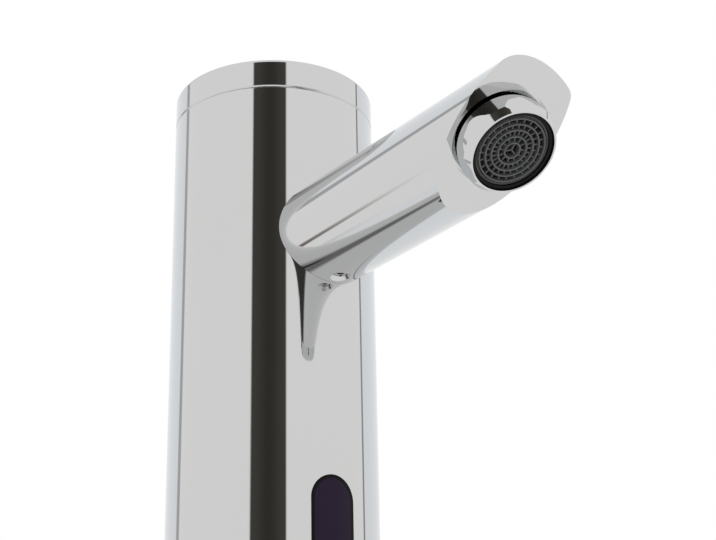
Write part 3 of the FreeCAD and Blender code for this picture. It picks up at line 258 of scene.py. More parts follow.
WARM_SIDES = (-153, 82, 2)
LEFT_SEAM = (-156, -150, 1)
LEFT_SEAM_SHARE = 0.7
RIGHT_SEAM = (79.5, 82.5, 1)
SEAM_HEIGHTS = (-30, 70, 6)
FLAG_SIDES = (-56.7, -18.9, 1.2)
FLAG_BOTTOM = (-41, -34)
FLAG_TOP = (31, 50)
FLAG_DARK_SIDES = (-46, -29, 7)
FOOT_SIDES = (-53, -44, 2.5)
FOOT_BOTTOM = (-43, -39)
BLUR_SIDES = (-60, -27, 8)
BLUR_HEIGHTS = (-48, -35, 5)
BLUR_SHARE = 0.75
LEDGE_HEIGHTS = (-19.5, -15.5, 1)
LEDGE_START = (-176, -160)
LEDGE_END = (-144, -137)
STREAK_SIDES = (132, 139, 1.5)
STREAK_HEIGHTS = (-8, 14, 4)

world = bpy.data.worlds.new("studio")
world.use_nodes = True
bpy.context.scene.world = world
room = Graph(world.node_tree)
x, y, z = room.xyz(room.node("ShaderNodeTexCoord").out("Generated"))
side = x.maths("ARCTAN2", x, 0 - y) * math.degrees(1)
height = z.maths("ARCSINE", z) * math.degrees(1)

cool = 1 - room.between(side, *WARM_SIDES)
seams = room.between(side, *LEFT_SEAM) * LEFT_SEAM_SHARE + room.between(side, *RIGHT_SEAM)
seams = seams * room.between(height, *SEAM_HEIGHTS)
crisp = room.between(side, *FLAG_SIDES) * room.smooth(height, *FLAG_BOTTOM)
foot = room.between(side, *FOOT_SIDES) * room.smooth(height, *FOOT_BOTTOM)
blurred = room.between(side, *BLUR_SIDES) * room.between(height, *BLUR_HEIGHTS) * BLUR_SHARE
flag = crisp.most(foot).most(blurred) * (1 - room.smooth(height, *FLAG_TOP))
flag_tone = room.mix(room.between(side, *FLAG_DARK_SIDES), FLAG_EDGE, FLAG)
ledge = room.between(height, *LEDGE_HEIGHTS) * room.smooth(side, *LEDGE_START)
ledge = ledge * (1 - room.smooth(side, *LEDGE_END))
streak = room.between(side, *STREAK_SIDES) * room.between(height, *STREAK_HEIGHTS)
walls = room.mix(cool, WARM_WALL, COOL_WALL)
walls = room.mix(seams, walls, SEAM)
walls = room.mix(flag, walls, flag_tone)
walls = room.mix(ledge, walls, LEDGE)
walls = room.mix(streak, walls, WHITE)

rays = room.node("ShaderNodeLightPath")
seen = room.mix(rays.out("Is Glossy Ray"), ROOM_LIGHT, walls)
straight = rays.out("Is Camera Ray").most(rays.out("Is Transmission Ray"))
seen = room.mix(straight, seen, WHITE)
room.node("ShaderNodeOutputWorld", sockets={
    "Surface": room.node("ShaderNodeBackground", sockets={"Color": seen}),
})
print("studio made of", len(world.node_tree.nodes), "nodes")

# %% [markdown]
# ## Floor and lamp
#
# The tap stands on its shank's end, as a tap does on a bench. The floor is pale, keeps a soft
# shadow, and fades to the white background at its rim. Mirrors look past it to the room.

# %% Lay the floor
FLOOR_RADIUS = 1.5
FLOOR_SIDES = 96
FLOOR_GREY = (0.93, 0.93, 0.925, 1)
FLOOR_FADE = (0.25, 0.9)
FLOOR_GAP = 0.1 * MM


def disc(name, radius, level, sides):
    """A flat round sheet that faces up."""
    turns = [2 * math.pi * step / sides for step in range(sides)]
    mesh = bpy.data.meshes.new(name)
    mesh.from_pydata([(radius * math.cos(turn), radius * math.sin(turn), level) for turn in turns],
                     [], [tuple(range(sides))])
    made = bpy.data.objects.new(name, mesh)
    bpy.context.scene.collection.objects.link(made)
    return made


floor = disc("floor", FLOOR_RADIUS, cad_box[0][2] - FLOOR_GAP, FLOOR_SIDES)
floor_paint = bpy.data.materials.new("floor")
floor_paint.use_nodes = True
ground = Graph(floor_paint.node_tree)
spot = ground.node("ShaderNodeTexCoord").out("Object")
away = ground.node("ShaderNodeVectorMath", {"operation": "LENGTH"}, {0: spot}).out("Value")
matt = ground.node("ShaderNodeBsdfDiffuse", sockets={"Color": FLOOR_GREY})
plain = ground.node("ShaderNodeEmission", sockets={"Color": WHITE})
rim = ground.smooth(away, *FLOOR_FADE)
ground.node("ShaderNodeOutputMaterial", sockets={
    "Surface": ground.node("ShaderNodeMixShader", sockets={0: rim, 1: matt, 2: plain}),
})
floor.data.materials.append(floor_paint)
floor.visible_glossy = False

# %% Hang the lamp
LAMP_PLACE = (-0.55, -0.75, 0.95)
LAMP_AIM = (0, 0, 0.1)
LAMP_WIDTH = 0.9
LAMP_POWER = 3.6

lamp = bpy.data.objects.new("softbox", bpy.data.lights.new("softbox", "AREA"))
bpy.context.scene.collection.objects.link(lamp)
lamp.data.size = LAMP_WIDTH
lamp.data.energy = LAMP_POWER
lamp.location = LAMP_PLACE
lamp.rotation_euler = (Vector(LAMP_AIM) - lamp.location).to_track_quat("-Z", "Y").to_euler()
lamp.visible_glossy = False
print("lamp %.1f W at %.2f m" % (lamp.data.energy, lamp.location.length))

# %% [markdown]
# ## Paints
#
# Every finish below starts the same way: a graph whose patterns read the object's own
# coordinates, in metres, so a pattern stays on the piece from any side. `Paint` keeps that
# start, a few patterns, and the last step, the Principled shader.

# %% A graph for one finish
class Paint(Graph):
    """The node tree of one material."""

    def __init__(self, name):
        self.material = bpy.data.materials.new(name)
        self.material.use_nodes = True
        super().__init__(self.material.node_tree)
        self.spot = self.node("ShaderNodeTexCoord").out("Object")

    def noise(self, scale, detail=2.0, stretch=(1, 1, 1)):
        """Cloudy noise from 0 to 1; scale is in features per metre."""
        placed = self.node("ShaderNodeMapping", sockets={"Vector": self.spot, "Scale": stretch})
        return self.node("ShaderNodeTexNoise", {"noise_dimensions": "3D"},
                         {"Vector": placed, "Scale": scale, "Detail": detail})

    def bump(self, relief, depth):
        """A normal that rises by depth, in metres, where the relief is 1."""
        return self.node("ShaderNodeBump", sockets={"Strength": 1.0, "Distance": depth, "Height": relief})

    def finish(self, **sockets):
        """The Principled shader and the output; names have _ for their spaces."""
        named = {name.replace("_", " "): given for name, given in sockets.items()}
        shader = self.node("ShaderNodeBsdfPrincipled", sockets=named)
        self.node("ShaderNodeOutputMaterial", sockets={"Surface": shader})
        return self.material


def colour(red, green, blue):
    return (red, green, blue, 1)


def dress(material, *nodes):
    """Give solids that keep their shape a better material."""
    for name in nodes:
        slots = frame["nodes"][name].data.materials
        slots.clear()
        slots.append(material)


# %% [markdown]
# ## Chrome
#
# Decorative chrome plate is a thin, very smooth layer. It darkens and warms a little over
# large areas and carries faint wiping marks, so its roughness drifts between almost nothing
# and a few hundredths. The buffing wheel doesn't reach into the seam under the cap, which
# stays a little duller.

# %% Mix the chrome
SEAM_EDGE = 0.5 * MM


def chrome_plate():
    paint = Paint("chrome_plate")
    drift = paint.noise(18, 1)
    wiping = paint.noise(220, 3, stretch=(1, 1, 0.25))
    z = paint.xyz(paint.spot)[2]
    seam = paint.between(z, casing_high.z - SEAM_EDGE, casing_high.z + SEAM_EDGE, 0.1 * MM)
    return paint.finish(
        Base_Color=paint.mix(drift, colour(0.60, 0.605, 0.605), colour(0.615, 0.62, 0.625)),
        Metallic=1.0,
        Roughness=0.028 + wiping * 0.022 + seam * 0.16,
    )


chrome = chrome_plate()

# %% [markdown]
# ## Exact normals for mirrors
#
# A solid comes as triangles, and its stored normals are averages. On a matt surface nobody
# would see it. On chrome a normal that is off by one degree moves the mirrored edge by two, and
# straight reflections wobble. The surfaces of this tap are turned ones: cylinders, cones and
# rings about a few known axes. So each triangle is tested against each axis: if its corners lie
# on one turned surface, every corner takes that surface's true normal. All others stay flat.

# %% Find the true normals
AXIS_CLEAR = 0.001 * MM
SURFACE_FIT = 0.02 * MM
TURNED_SLACK = 0.09  # how far a normal may lean round the axis, as a sine
WELD = 0.001 * MM


def turned_normals(corners, normal, point, direction, rolls):
    """Corner normals if the triangle lies on a surface turned about the axis, or None."""
    offsets = corners - point
    along = offsets @ direction
    outward = offsets - np.outer(along, direction)
    radius = np.linalg.norm(outward, axis=1)
    if radius.min() < AXIS_CLEAR:
        return None
    spokes = outward / radius[:, None]
    for ring_radius, ring_level, roll in rolls:
        across, upward = radius - ring_radius, along - ring_level
        if np.abs(np.hypot(across, upward) - roll).max() < SURFACE_FIT:
            return (across / roll)[:, None] * spokes + (upward / roll)[:, None] * direction
    middle = spokes.mean(0) / np.linalg.norm(spokes.mean(0))
    if abs(normal @ np.cross(direction, middle)) > TURNED_SLACK:
        return None
    slope = np.array((normal @ middle, normal @ direction))
    slope /= np.linalg.norm(slope)
    if np.ptp(slope[0] * radius + slope[1] * along) > SURFACE_FIT:
        return None
    return slope[0] * spokes + slope[1] * direction


def copied(node, ending):
    """A copy of a solid, free to be changed."""
    made = frame["nodes"][node].copy()
    made.data = made.data.copy()
    made.name = node + ending
    bpy.context.scene.collection.objects.link(made)
    for key in [key for key in made.keys() if key.startswith("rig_")]:
        del made[key]
    return made


def polished(node, axes, material, rolls=()):
    """A copy of a solid with exact normals, which stands for it."""
    made = copied(node, "_polished")
    merged = bmesh.new()
    merged.from_mesh(made.data)
    bmesh.ops.remove_doubles(merged, verts=merged.verts, dist=WELD)
    for face in merged.faces:
        face.smooth = True
    merged.to_mesh(made.data)
    merged.free()
    spots = np.array([vertex.co for vertex in made.data.vertices])
    normals = np.zeros((len(made.data.loops), 3))
    exact = 0
    for face in made.data.polygons:
        corners, flat = spots[list(face.vertices)], np.array(face.normal)
        found = None
        for point, direction in axes:
            found = turned_normals(corners, flat, np.array(point), np.array(direction), rolls)
            if found is not None:
                exact += 1
                break
        normals[list(face.loop_indices)] = flat if found is None else found
    made.data.normals_split_custom_set(normals)
    made.data.materials.clear()
    made.data.materials.append(material)
    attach(made, "tap")
    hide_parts(node)
    print("%s: %d of %d faces on turned surfaces" % (node, exact, len(made.data.polygons)))
    return made


# %% [markdown]
# ## Casing, cap and spout
#
# The casing is one tube with the window and the spout's seat cut in. The cap's top edge is
# rolled, which is a ring of its own. The spout turns about its own axis, the outlet's, the
# pillar's where it is saddled, the grub screw's, and the edge that blends the slant.

# %% Polish the big pieces
CAP_ROLL = 1.2 * MM
BLEND = 3 * MM
FLAT_SETBACK = 7.6 * MM
GRUB_OUT = 4.4 * MM
LOCK_HEIGHT = 10 * MM

pillar = ((0, 0, 0), (0, 0, 1))
spout_line = ((0, 0, spout_level), (0, -1, 0))
outlet_line = (tuple(outlet_centre), tuple(outlet_axis))
grub_line = ((0, -body_radius - GRUB_OUT, 0), (0, 0, 1))
flat_spot = outlet_centre + outlet_axis * FLAT_SETBACK
blend_y = spout_low.y + BLEND
blend_z = flat_spot.z + (BLEND - (blend_y - flat_spot.y) * outlet_axis.y) / outlet_axis.z
blend_line = ((0, blend_y, blend_z), (1, 0, 0))
lock_line = ((0, 0, LOCK_HEIGHT), (0, 1, 0))
cap_roll = (body_radius - CAP_ROLL, cap_high.z - CAP_ROLL, CAP_ROLL)

polished("body_casing", [pillar, spout_line, lock_line], chrome)
polished("top_cap", [pillar], chrome, rolls=[cap_roll])
polished("spout", [spout_line, outlet_line, pillar, grub_line, blend_line], chrome)
polished("aerator_housing", [outlet_line], chrome)

# %% [markdown]
# ## The sensor window
#
# Infrared sensors look out through a window of dark acrylic, nearly black, with a violet cast
# where light gets a little way in. It lies flush in the casing, mirrors the room faintly and
# is darker along its rim, where it is bonded. The rim follows a slot: the distance from the
# window's spine, a straight line with round ends.

# %% Tint the window
window_low, window_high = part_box("sensor_window")
RIM_WIDE = 1.3 * MM


def tinted_window():
    paint = Paint("tinted_window")
    x, _, z = paint.xyz(paint.spot)
    half_wide = (window_high.x - window_low.x) / 2
    half_straight = (window_high.z - window_low.z) / 2 - half_wide
    off_middle = z.maths("ABSOLUTE", z - (window_high.z + window_low.z) / 2)
    past_straight = (off_middle - half_straight).most(0.0)
    from_spine = x.maths("SQRT", x * x + past_straight * past_straight)
    rim = paint.smooth(from_spine, half_wide - RIM_WIDE, half_wide - RIM_WIDE / 2)
    cloud = paint.noise(60, 1)
    haze = paint.noise(900, 2)
    tint = paint.mix(cloud, colour(0.014, 0.007, 0.022), colour(0.020, 0.011, 0.029))
    return paint.finish(
        Base_Color=paint.mix(rim, tint, colour(0.003, 0.002, 0.002)),
        Roughness=0.06 + haze * 0.05,
        Specular_IOR_Level=0.10,
    )


polished("sensor_window", [pillar], tinted_window())

# %% [markdown]
# ## Growing pieces with Geometry Nodes
#
# What repeats or follows a rule is grown: the grille's rings and ribs, the thread, the woven
# screen. Each tree is a group with named inputs.

# %% A graph for one grown piece
class Plan(Graph):
    """A Geometry Nodes group with named number inputs and a material."""

    def __init__(self, name, counts=(), lengths=()):
        group = bpy.data.node_groups.new(name, "GeometryNodeTree")
        group.interface.new_socket("Geometry", in_out="OUTPUT", socket_type="NodeSocketGeometry")
        for title in counts:
            group.interface.new_socket(title, in_out="INPUT", socket_type="NodeSocketInt")
        for title in lengths:
            group.interface.new_socket(title, in_out="INPUT", socket_type="NodeSocketFloat")
        group.interface.new_socket("Material", in_out="INPUT", socket_type="NodeSocketMaterial")
        super().__init__(group)
        self.given = self.node("NodeGroupInput")

    def sizes(self, *titles):
        return [self.given.out(title) for title in titles]

    def end(self, geometry):
        """Realize what is instanced, give it the material and hand it over."""
        solid = self.node("GeometryNodeRealizeInstances", sockets={"Geometry": geometry})
        dressed = self.node("GeometryNodeSetMaterial",
                            sockets={"Geometry": solid, "Material": self.given.out("Material")})
        self.node("NodeGroupOutput", sockets={"Geometry": dressed})
        return self.tree

    def join(self, *parts):
        joined = self.node("GeometryNodeJoinGeometry")
        for part in parts:
            self.tree.links.new(part.socket, joined.socket.node.inputs[0])
        return joined

    def vector(self, x=0.0, y=0.0, z=0.0):
        return self.node("ShaderNodeCombineXYZ", sockets={"X": x, "Y": y, "Z": z})


# %% Evaluate a group into a mesh
def grow(group, values, material):
    """The mesh that a Geometry Nodes group makes from these inputs."""
    holder = bpy.data.objects.new("holder", bpy.data.meshes.new("holder"))
    bpy.context.scene.collection.objects.link(holder)
    modifier = holder.modifiers.new("grow", "NODES")
    modifier.node_group = group
    for item in group.interface.items_tree:
        if item.item_type == "SOCKET" and item.in_out == "INPUT":
            modifier[item.identifier] = material if item.name == "Material" else values[item.name]
    shaped = holder.evaluated_get(bpy.context.evaluated_depsgraph_get())
    mesh = bpy.data.meshes.new_from_object(shaped)
    bpy.data.objects.remove(holder)
    return mesh


def placed(name, meshes, place, material, node, slot):
    """One piece from grown meshes, put in its place, which stands for a solid."""
    whole = bmesh.new()
    for mesh in meshes:
        whole.from_mesh(mesh)
    bmesh.ops.transform(whole, matrix=place, verts=whole.verts)
    made = bpy.data.objects.new(name, bpy.data.meshes.new(name))
    whole.to_mesh(made.data)
    whole.free()
    made.data.materials.append(material)
    bpy.context.scene.collection.objects.link(made)
    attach(made, "tap")
    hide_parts(node)
    corners = np.array([vertex.co for vertex in made.data.vertices])
    print(name, len(made.data.polygons), "faces", corners.min(0).round(4), corners.max(0).round(4))
    return made


# %% [markdown]
# ## The grille in the outlet
#
# The straightener at the mouth of an aerator is moulded in grey plastic: thin ring walls, and
# short ribs between them that are staggered from ring to ring. The ribs lie a little deeper
# than the rings, so the rings catch the light first. One group makes one ring wall with its
# ribs, and it is grown once for every ring.

# %% Plan one ring of cells
RING_SIDES = 96


def ring_plan():
    titles = ["Inside", "Radius", "Wall", "Rib", "Front", "Back", "Rib Front", "Edge", "Turn"]
    plan = Plan("ring_of_cells", counts=["Ribs"], lengths=titles)
    inside, radius, wall, rib, front, back, rib_front, edge, turn = plan.sizes(*titles)
    outline = plan.node("GeometryNodeCurvePrimitiveQuadrilateral", {"mode": "RECTANGLE"},
                        {"Width": wall, "Height": back - front})
    softened = plan.node("GeometryNodeFilletCurve", {"mode": "POLY"},
                         {"Curve": outline, "Count": 2, "Radius": edge, "Limit Radius": True})
    path = plan.node("GeometryNodeCurvePrimitiveCircle", {"mode": "RADIUS"},
                     {"Resolution": RING_SIDES, "Radius": radius})
    band = plan.node("GeometryNodeCurveToMesh", sockets={"Curve": path, "Profile Curve": softened})
    band = plan.node("GeometryNodeTransform", sockets={
        "Geometry": band, "Translation": plan.vector(z=(front + back) / 2)})
    stations = plan.node("GeometryNodeMeshCircle", {"fill_type": "NONE"},
                         {"Vertices": plan.given.out("Ribs"), "Radius": (inside + radius) / 2})
    stations = plan.node("GeometryNodeTransform", sockets={
        "Geometry": stations, "Rotation": plan.vector(z=turn),
        "Translation": plan.vector(z=(rib_front + back) / 2)})
    bar = plan.node("GeometryNodeMeshCube", sockets={
        "Size": plan.vector(radius - inside, rib, back - rib_front)})
    x, y, _ = plan.xyz(plan.node("GeometryNodeInputPosition"))
    heading = x.maths("ARCTAN2", y, x)
    bars = plan.node("GeometryNodeInstanceOnPoints", sockets={
        "Points": stations, "Instance": bar, "Rotation": plan.vector(z=heading)})
    return plan.end(plan.join(band, bars))


ring_group = ring_plan()

# %% Paint the grille's plastic
def grille_plastic():
    paint = Paint("grille_plastic")
    grain = paint.noise(2600, 2)
    cloud = paint.noise(260, 1)
    return paint.finish(
        Base_Color=paint.mix(cloud, colour(0.085, 0.086, 0.088), colour(0.110, 0.112, 0.114)),
        Roughness=0.42 + grain * 0.14,
        Specular_IOR_Level=0.35,
        Normal=paint.bump(grain, 0.004 * MM),
    )


# %% Grow the grille ring by ring
GRILLE_FRONT = 0.8
GRILLE_BACK = 3.4
RIB_SET_BACK = 0.55
RING_WALL = 0.44
RIB_WALL = 0.36
SOFT_EDGE = 0.09
# Each ring: inside and outside radius in mm, ribs, and the stagger as a share of a cell.
RINGS = [
    (0, 2.11, 3, 0.25), (2.11, 3.89, 12, 0.5), (3.89, 5.72, 24, 0.5),
    (5.72, 7.33, 24, 0), (7.33, 8.95, 24, 0.5),
]
# The two bands of the rim: radius, wall and how far each is set back, in mm.
RIM = [(9.72, 0.56, 0.35), (9.45, 0.16, 0.0)]
RIM_RIBS = 4


def ring_of_cells(inside, radius, wall, ribs, turn, set_back=0.0):
    return grow(ring_group, {
        "Ribs": ribs, "Inside": inside * MM, "Radius": radius * MM,
        "Wall": wall * MM, "Rib": RIB_WALL * MM,
        "Front": (GRILLE_FRONT + set_back) * MM, "Back": GRILLE_BACK * MM,
        "Rib Front": (GRILLE_FRONT + RIB_SET_BACK) * MM, "Edge": SOFT_EDGE * MM, "Turn": turn,
    }, grille_paint)


grille_paint = grille_plastic()
grille_rings = [
    ring_of_cells(inside, radius, RING_WALL, ribs, stagger * 2 * math.pi / ribs)
    for inside, radius, ribs, stagger in RINGS
]
last_ring = RINGS[-1][1]
grille_rings += [
    ring_of_cells(last_ring, radius, wall, RIM_RIBS, 0, set_back) for radius, wall, set_back in RIM
]
placed("aerator_grille_face", grille_rings, outlet_place, grille_paint, "aerator_grille", "grey_plastic")

# %% [markdown]
# ## The woven screen
#
# Behind the grille lies a disc of woven steel wire that breaks up the jet. Each wire passes
# over and under the ones that cross it: a cosine along the wire whose phase flips from one
# wire to the next. Two sets, one along X and one along Y, make the weave.

# %% Plan one set of wires
STRAND_POINTS = 64
WIRE_SIDES = 5


def weave_plan():
    titles = ["Radius", "Pitch", "Wire", "Phase"]
    plan = Plan("set_of_wires", counts=["Wires"], lengths=titles)
    radius, pitch, wire, phase = plan.sizes(*titles)
    wires = plan.given.out("Wires")
    first = plan.vector(y=(1 - wires) / 2 * pitch)
    lines = plan.node("GeometryNodeMeshLine", {"mode": "OFFSET"}, {
        "Count": wires, "Start Location": first, "Offset": plan.vector(y=pitch)})
    x, y, _ = plan.xyz(plan.node("GeometryNodeInputPosition"))
    reach = y.maths("SQRT", radius * radius - y * y)
    strand = plan.node("GeometryNodeCurvePrimitiveLine", sockets={"Start": (-1, 0, 0), "End": (1, 0, 0)})
    strands = plan.node("GeometryNodeInstanceOnPoints", sockets={
        "Points": lines, "Instance": strand, "Scale": plan.vector(reach, 1, 1)})
    strands = plan.node("GeometryNodeRealizeInstances", sockets={"Geometry": strands})
    strands = plan.node("GeometryNodeResampleCurve", sockets={"Curve": strands, "Count": STRAND_POINTS})
    row = y.maths("ROUND", y / pitch + phase)
    swing = x.maths("COSINE", (x / pitch + row + phase) * math.pi)
    strands = plan.node("GeometryNodeSetPosition", sockets={
        "Geometry": strands, "Offset": plan.vector(z=swing * wire * 0.5)})
    section = plan.node("GeometryNodeCurvePrimitiveCircle", {"mode": "RADIUS"},
                        {"Resolution": WIRE_SIDES, "Radius": wire / 2})
    tubes = plan.node("GeometryNodeCurveToMesh", sockets={
        "Curve": strands, "Profile Curve": section, "Fill Caps": True})
    return plan.end(tubes)


# %% Paint the steel of the small parts
def stainless(name, lines, dark, light):
    paint = Paint(name)
    drawn = paint.noise(700, 3, stretch=lines)
    stain = paint.noise(90, 2)
    return paint.finish(
        Base_Color=paint.mix(stain, dark, light),
        Metallic=1.0,
        Roughness=0.22 + drawn * 0.16,
        Normal=paint.bump(drawn, 0.003 * MM),
    )


# %% Weave the screen
SCREEN_RADIUS = 8.9
SCREEN_LEVEL = 3.9
SCREEN_PITCH = 0.75
SCREEN_WIRE = 0.2
# The screen's steel is painted far darker than the real light steel: painted shade for the deep, dark cells
# of the outlet.
screen_steel = stainless("screen_steel", (1, 1, 1), colour(0.16, 0.16, 0.16), colour(0.24, 0.235, 0.225))
weave_group = weave_plan()
wire_count = int(2 * SCREEN_RADIUS / SCREEN_PITCH)
sets = []
for phase, turn in ((0.0, 0), (1.0, 90)):
    grown = grow(weave_group, {
        "Wires": wire_count, "Radius": SCREEN_RADIUS * MM, "Pitch": SCREEN_PITCH * MM,
        "Wire": SCREEN_WIRE * MM, "Phase": phase,
    }, screen_steel)
    grown.transform(Matrix.Rotation(turn * DEGREE, 4, "Z"))
    sets.append(grown)
lift = Matrix.Translation((0, 0, SCREEN_LEVEL * MM))
placed("woven_screen", sets, outlet_place @ lift, screen_steel, "aerator_screen", "steel")

# %% [markdown]
# ## The thread on the shank
#
# A fine metric thread is one ridge that climbs 1.5 mm each turn. The plan sweeps the shank's
# wall, a tall thin rectangle, round a circle, then pushes the points of its outer face out by
# a triangle wave of height along the screw. The ridge fades out at both ends and the last
# millimetres stay plain, so that a nut finds its way on.

# %% Plan the shank
STEPS_A_TURN = 4


def thread_plan():
    titles = ["Bore", "Core", "Crest", "Pitch", "Low", "High", "Thread Low", "Thread High", "Edge"]
    plan = Plan("threaded_tube", counts=["Sides"], lengths=titles)
    bore, core, crest, pitch, low, high, thread_low, thread_high, edge = plan.sizes(*titles)
    wall = plan.node("GeometryNodeCurvePrimitiveQuadrilateral", {"mode": "RECTANGLE"},
                     {"Width": core - bore, "Height": high - low})
    wall = plan.node("GeometryNodeResampleCurve", {"mode": "LENGTH"},
                     {"Curve": wall, "Length": pitch / STEPS_A_TURN})
    path = plan.node("GeometryNodeCurvePrimitiveCircle", {"mode": "RADIUS"},
                     {"Resolution": plan.given.out("Sides"), "Radius": (core + bore) / 2})
    tube = plan.node("GeometryNodeCurveToMesh", sockets={"Curve": path, "Profile Curve": wall})
    tube = plan.node("GeometryNodeTransform", sockets={
        "Geometry": tube, "Translation": plan.vector(z=(low + high) / 2)})
    x, y, z = plan.xyz(plan.node("GeometryNodeInputPosition"))
    radius = x.maths("SQRT", x * x + y * y)
    outer = x.maths("GREATER_THAN", radius, (core + bore) / 2)
    climb = z / pitch - x.maths("ARCTAN2", y, x) / (2 * math.pi)
    ridge = x.maths("PINGPONG", climb, 0.5) * 2
    fade = plan.node("ShaderNodeMapRange", sockets={
        "Value": z, "From Min": thread_low, "From Max": thread_low + pitch})
    fade = fade * plan.node("ShaderNodeMapRange", sockets={
        "Value": z, "From Min": thread_high, "From Max": thread_high - pitch})
    bevel = (low + edge - z).most(0.0)
    push = outer * (ridge * fade * (crest - core) - bevel)
    shaped = plan.node("GeometryNodeSetPosition", sockets={
        "Geometry": tube, "Offset": plan.vector(x / radius * push, y / radius * push, 0)})
    return plan.end(shaped)


# %% Paint the brass
def turned_brass():
    paint = Paint("turned_brass")
    tool = paint.noise(1500, 2, stretch=(0.05, 0.05, 1))
    dull = paint.noise(110, 3)
    return paint.finish(
        Base_Color=paint.mix(dull, colour(0.70, 0.52, 0.24), colour(0.78, 0.62, 0.34)),
        Metallic=1.0,
        Roughness=0.24 + dull * 0.18,
        Normal=paint.bump(tool, 0.006 * MM),
    )


brass = turned_brass()
dress(brass, "base_plug", "shank_nut", "spout_nipple", "outlet_block")

# %% Cut the thread
SHANK_BORE = 14
SHANK_CORE = 15.6
THREAD_PITCH = 1.5
LEAD_LONG = 8
TOP_PLAIN = 1
LEAD_BEVEL = 1
SHANK_SIDES = 72
shank_mesh = grow(thread_plan(), {
    "Sides": SHANK_SIDES, "Bore": SHANK_BORE * MM, "Core": SHANK_CORE * MM, "Crest": shank_high.x,
    "Pitch": THREAD_PITCH * MM, "Low": shank_low.z, "High": shank_high.z,
    "Thread Low": shank_low.z + LEAD_LONG * MM, "Thread High": -TOP_PLAIN * MM,
    "Edge": LEAD_BEVEL * MM,
}, brass)
placed("shank_with_thread", [shank_mesh], Matrix.Identity(4), brass, "threaded_shank", "brass")

# %% [markdown]
# ## Steel
#
# Screws, springs, washer, yoke and the solenoid's tube are plain stainless steel, drawn or
# turned, with fine lines one way.

# %% Dress the steel pieces
steel = stainless("stainless", (1, 1, 0.12), colour(0.56, 0.56, 0.57), colour(0.66, 0.655, 0.64))
dress(steel, "steel_washer", "base_lock_screw", "spout_grub_screw", "bonnet_screws", "frame_screws",
      "core_tube", "plunger", "plunger_spring", "check_valve_spring", "coil_yoke", "battery_contacts")

# %% [markdown]
# ## Springs that the joints press
#
# The plunger and the check valve's poppet each press a spring against its upper end, which
# stays where it is. The record says which joint presses which spring and where that end is. A
# copy of the spring stands for the solid, and the share of its height that it would keep at the
# joint's end is worked out and printed; the copy itself is not shortened.

# %% Copy the springs
def pressed_spring(node, joint, fixed_end):
    """A copy of a spring that stands for the solid; prints the share of its height it would keep."""
    made = copied(node, "_pressed")
    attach(made, "tap")
    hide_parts(node)
    height = fixed_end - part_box(node)[0].z
    kept = 1 - joint["range_m"][1] / height
    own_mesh(made)
    print("%s keeps %.3f of its height at the end of %s" % (made.name, kept, joint["name"]))


for joint in frame["record"]["behaviour"]["joints"]:
    for spring in joint.get("deforming_nodes", ()):
        pressed_spring(spring["node"], joint, spring["fixed_end_z_m"])

# %% [markdown]
# ## Rubber and plastics
#
# Rubber is almost black, dusty in patches, and takes no sharp reflection. The moulded parts
# differ by their filler: glass fibre makes the black valve parts and carriers speckled and
# matt, while the white acetal parts are smooth and slightly waxy.

# %% Mix the rubber
def soft_rubber():
    paint = Paint("soft_rubber")
    bloom = paint.noise(160, 3)
    pores = paint.noise(2200, 2)
    return paint.finish(
        Base_Color=paint.mix(bloom, colour(0.020, 0.020, 0.021), colour(0.046, 0.045, 0.044)),
        Roughness=0.62 + pores * 0.25,
        Specular_IOR_Level=0.35,
        Normal=paint.bump(pores, 0.012 * MM),
    )


dress(soft_rubber(), "deck_gasket", "rubber_washer", "cap_o_ring", "riser_o_ring", "outlet_tube_o_rings",
      "nipple_o_rings", "aerator_gasket", "diaphragm", "window_gasket")

# %% Mix the moulded plastics
def moulded(name, dark, light, roughness, grain_depth, shine=0.5):
    paint = Paint(name)
    grain = paint.noise(3200, 2)
    cloud = paint.noise(140, 2)
    return paint.finish(
        Base_Color=paint.mix(cloud, dark, light),
        Roughness=roughness + grain * 0.16,
        Specular_IOR_Level=shine,
        Normal=paint.bump(grain, grain_depth),
    )


glass_filled = moulded(
    "glass_filled_nylon", colour(0.016, 0.016, 0.017), colour(0.032, 0.032, 0.034), 0.44, 0.01 * MM)
dress(glass_filled, "valve_body", "valve_bonnet", "battery_holder", "sensor_holder", "inner_frame")
cage_black = moulded(
    "cage_black", colour(0.006, 0.006, 0.006), colour(0.012, 0.012, 0.012), 0.5, 0.004 * MM, 0.1)
dress(cage_black, "aerator_cage")
acetal = moulded("white_acetal", colour(0.74, 0.74, 0.71), colour(0.82, 0.82, 0.80), 0.3, 0.003 * MM)
dress(acetal, "flow_regulator", "check_valve_body", "check_valve_poppet", "diaphragm_insert",
      "riser_tube", "outlet_tube", "inlet_strainer")
module_case = moulded("module_case", colour(0.62, 0.63, 0.63), colour(0.70, 0.70, 0.69), 0.4, 0.008 * MM)
dress(module_case, "control_module")

# %% [markdown]
# ## Electronics
#
# The board is green solder mask over copper, with a grid of traces that stand proud by a hair.
# The emitter's lens is bluish clear epoxy and the receiver's is nearly black, as filters are.

# %% Etch the board
def circuit_board():
    paint = Paint("circuit_board")
    turned = paint.node("ShaderNodeMapping", sockets={"Vector": paint.spot, "Rotation": (90 * DEGREE, 0, 0)})
    bricks = paint.node("ShaderNodeTexBrick", {"offset": 0.5, "squash": 1.0}, {
        "Vector": turned, "Scale": 260.0, "Mortar Size": 0.03, "Color1": colour(0, 0, 0),
        "Color2": colour(0, 0, 0), "Mortar": WHITE,
    })
    traces = bricks.out("Fac")
    dust = paint.noise(900, 2)
    green = paint.mix(dust, colour(0.012, 0.115, 0.045), colour(0.020, 0.150, 0.062))
    return paint.finish(
        Base_Color=paint.mix(traces * 0.8, green, colour(0.07, 0.26, 0.10)),
        Roughness=0.24 + dust * 0.12,
        Coat_Weight=0.4 + dust * 0.2,
        Normal=paint.bump(traces, 0.03 * MM),
    )


dress(circuit_board(), "sensor_board")

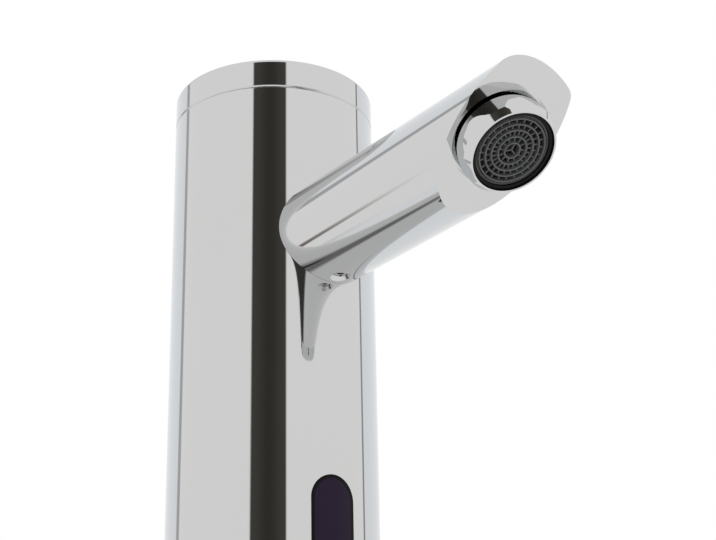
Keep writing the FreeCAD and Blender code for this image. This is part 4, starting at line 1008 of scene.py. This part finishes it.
# %% Cast the lenses
def cast_lens(name, deep, clear):
    paint = Paint(name)
    swirl = paint.noise(420, 1)
    return paint.finish(
        Base_Color=paint.mix(swirl, deep, clear),
        Roughness=0.05 + swirl * 0.05,
        Coat_Weight=0.6 + swirl * 0.3,
    )


dress(cast_lens("emitter_lens", colour(0.22, 0.26, 0.38), colour(0.36, 0.42, 0.56)), "ir_emitter")
dress(cast_lens("receiver_lens", colour(0.010, 0.009, 0.014), colour(0.030, 0.025, 0.040)), "ir_receiver")

# %% [markdown]
# ## Coil and battery
#
# Between the bobbin's black cheeks lies the winding: enamelled copper, each turn a fine ridge
# round the coil. The lithium block is shrink-wrapped, dark below and paler above,
# with the wrap's faint wrinkles.

# %% Wind the coil
coil_low, coil_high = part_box("solenoid_coil")
CHEEK = 1.5 * MM
ENAMEL_WIRE = 0.35 * MM


def wound_coil():
    paint = Paint("wound_coil")
    z = paint.xyz(paint.spot)[2]
    winding = paint.between(z, coil_low.z + CHEEK, coil_high.z - CHEEK, 0.02 * MM)
    turns = z.maths("SINE", z * (2 * math.pi / ENAMEL_WIRE)) * 0.5 + 0.5
    tarnish = paint.noise(240, 2)
    copper = paint.mix(tarnish, colour(0.50, 0.16, 0.05), colour(0.66, 0.27, 0.10))
    return paint.finish(
        Base_Color=paint.mix(winding, colour(0.02, 0.02, 0.022), copper),
        Roughness=0.42 - winding * 0.12 + tarnish * 0.08,
        Coat_Weight=winding * 0.5,
        Normal=paint.bump(turns * winding, 0.08 * MM),
    )


dress(wound_coil(), "solenoid_coil")

# %% Wrap the battery
battery_low, battery_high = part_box("battery")
BAND_SHARE = 0.62


def shrink_wrap():
    paint = Paint("shrink_wrap")
    z = paint.xyz(paint.spot)[2]
    edge = battery_low.z + (battery_high.z - battery_low.z) * BAND_SHARE
    upper = paint.smooth(z, edge - 0.1 * MM, edge + 0.1 * MM)
    wrinkles = paint.noise(120, 4, stretch=(1, 1, 3))
    return paint.finish(
        Base_Color=paint.mix(upper, colour(0.030, 0.038, 0.060), colour(0.42, 0.43, 0.44)),
        Roughness=0.22 + wrinkles * 0.14,
        Coat_Weight=0.3 + wrinkles * 0.2,
        Normal=paint.bump(wrinkles, 0.12 * MM),
    )


dress(shrink_wrap(), "battery")
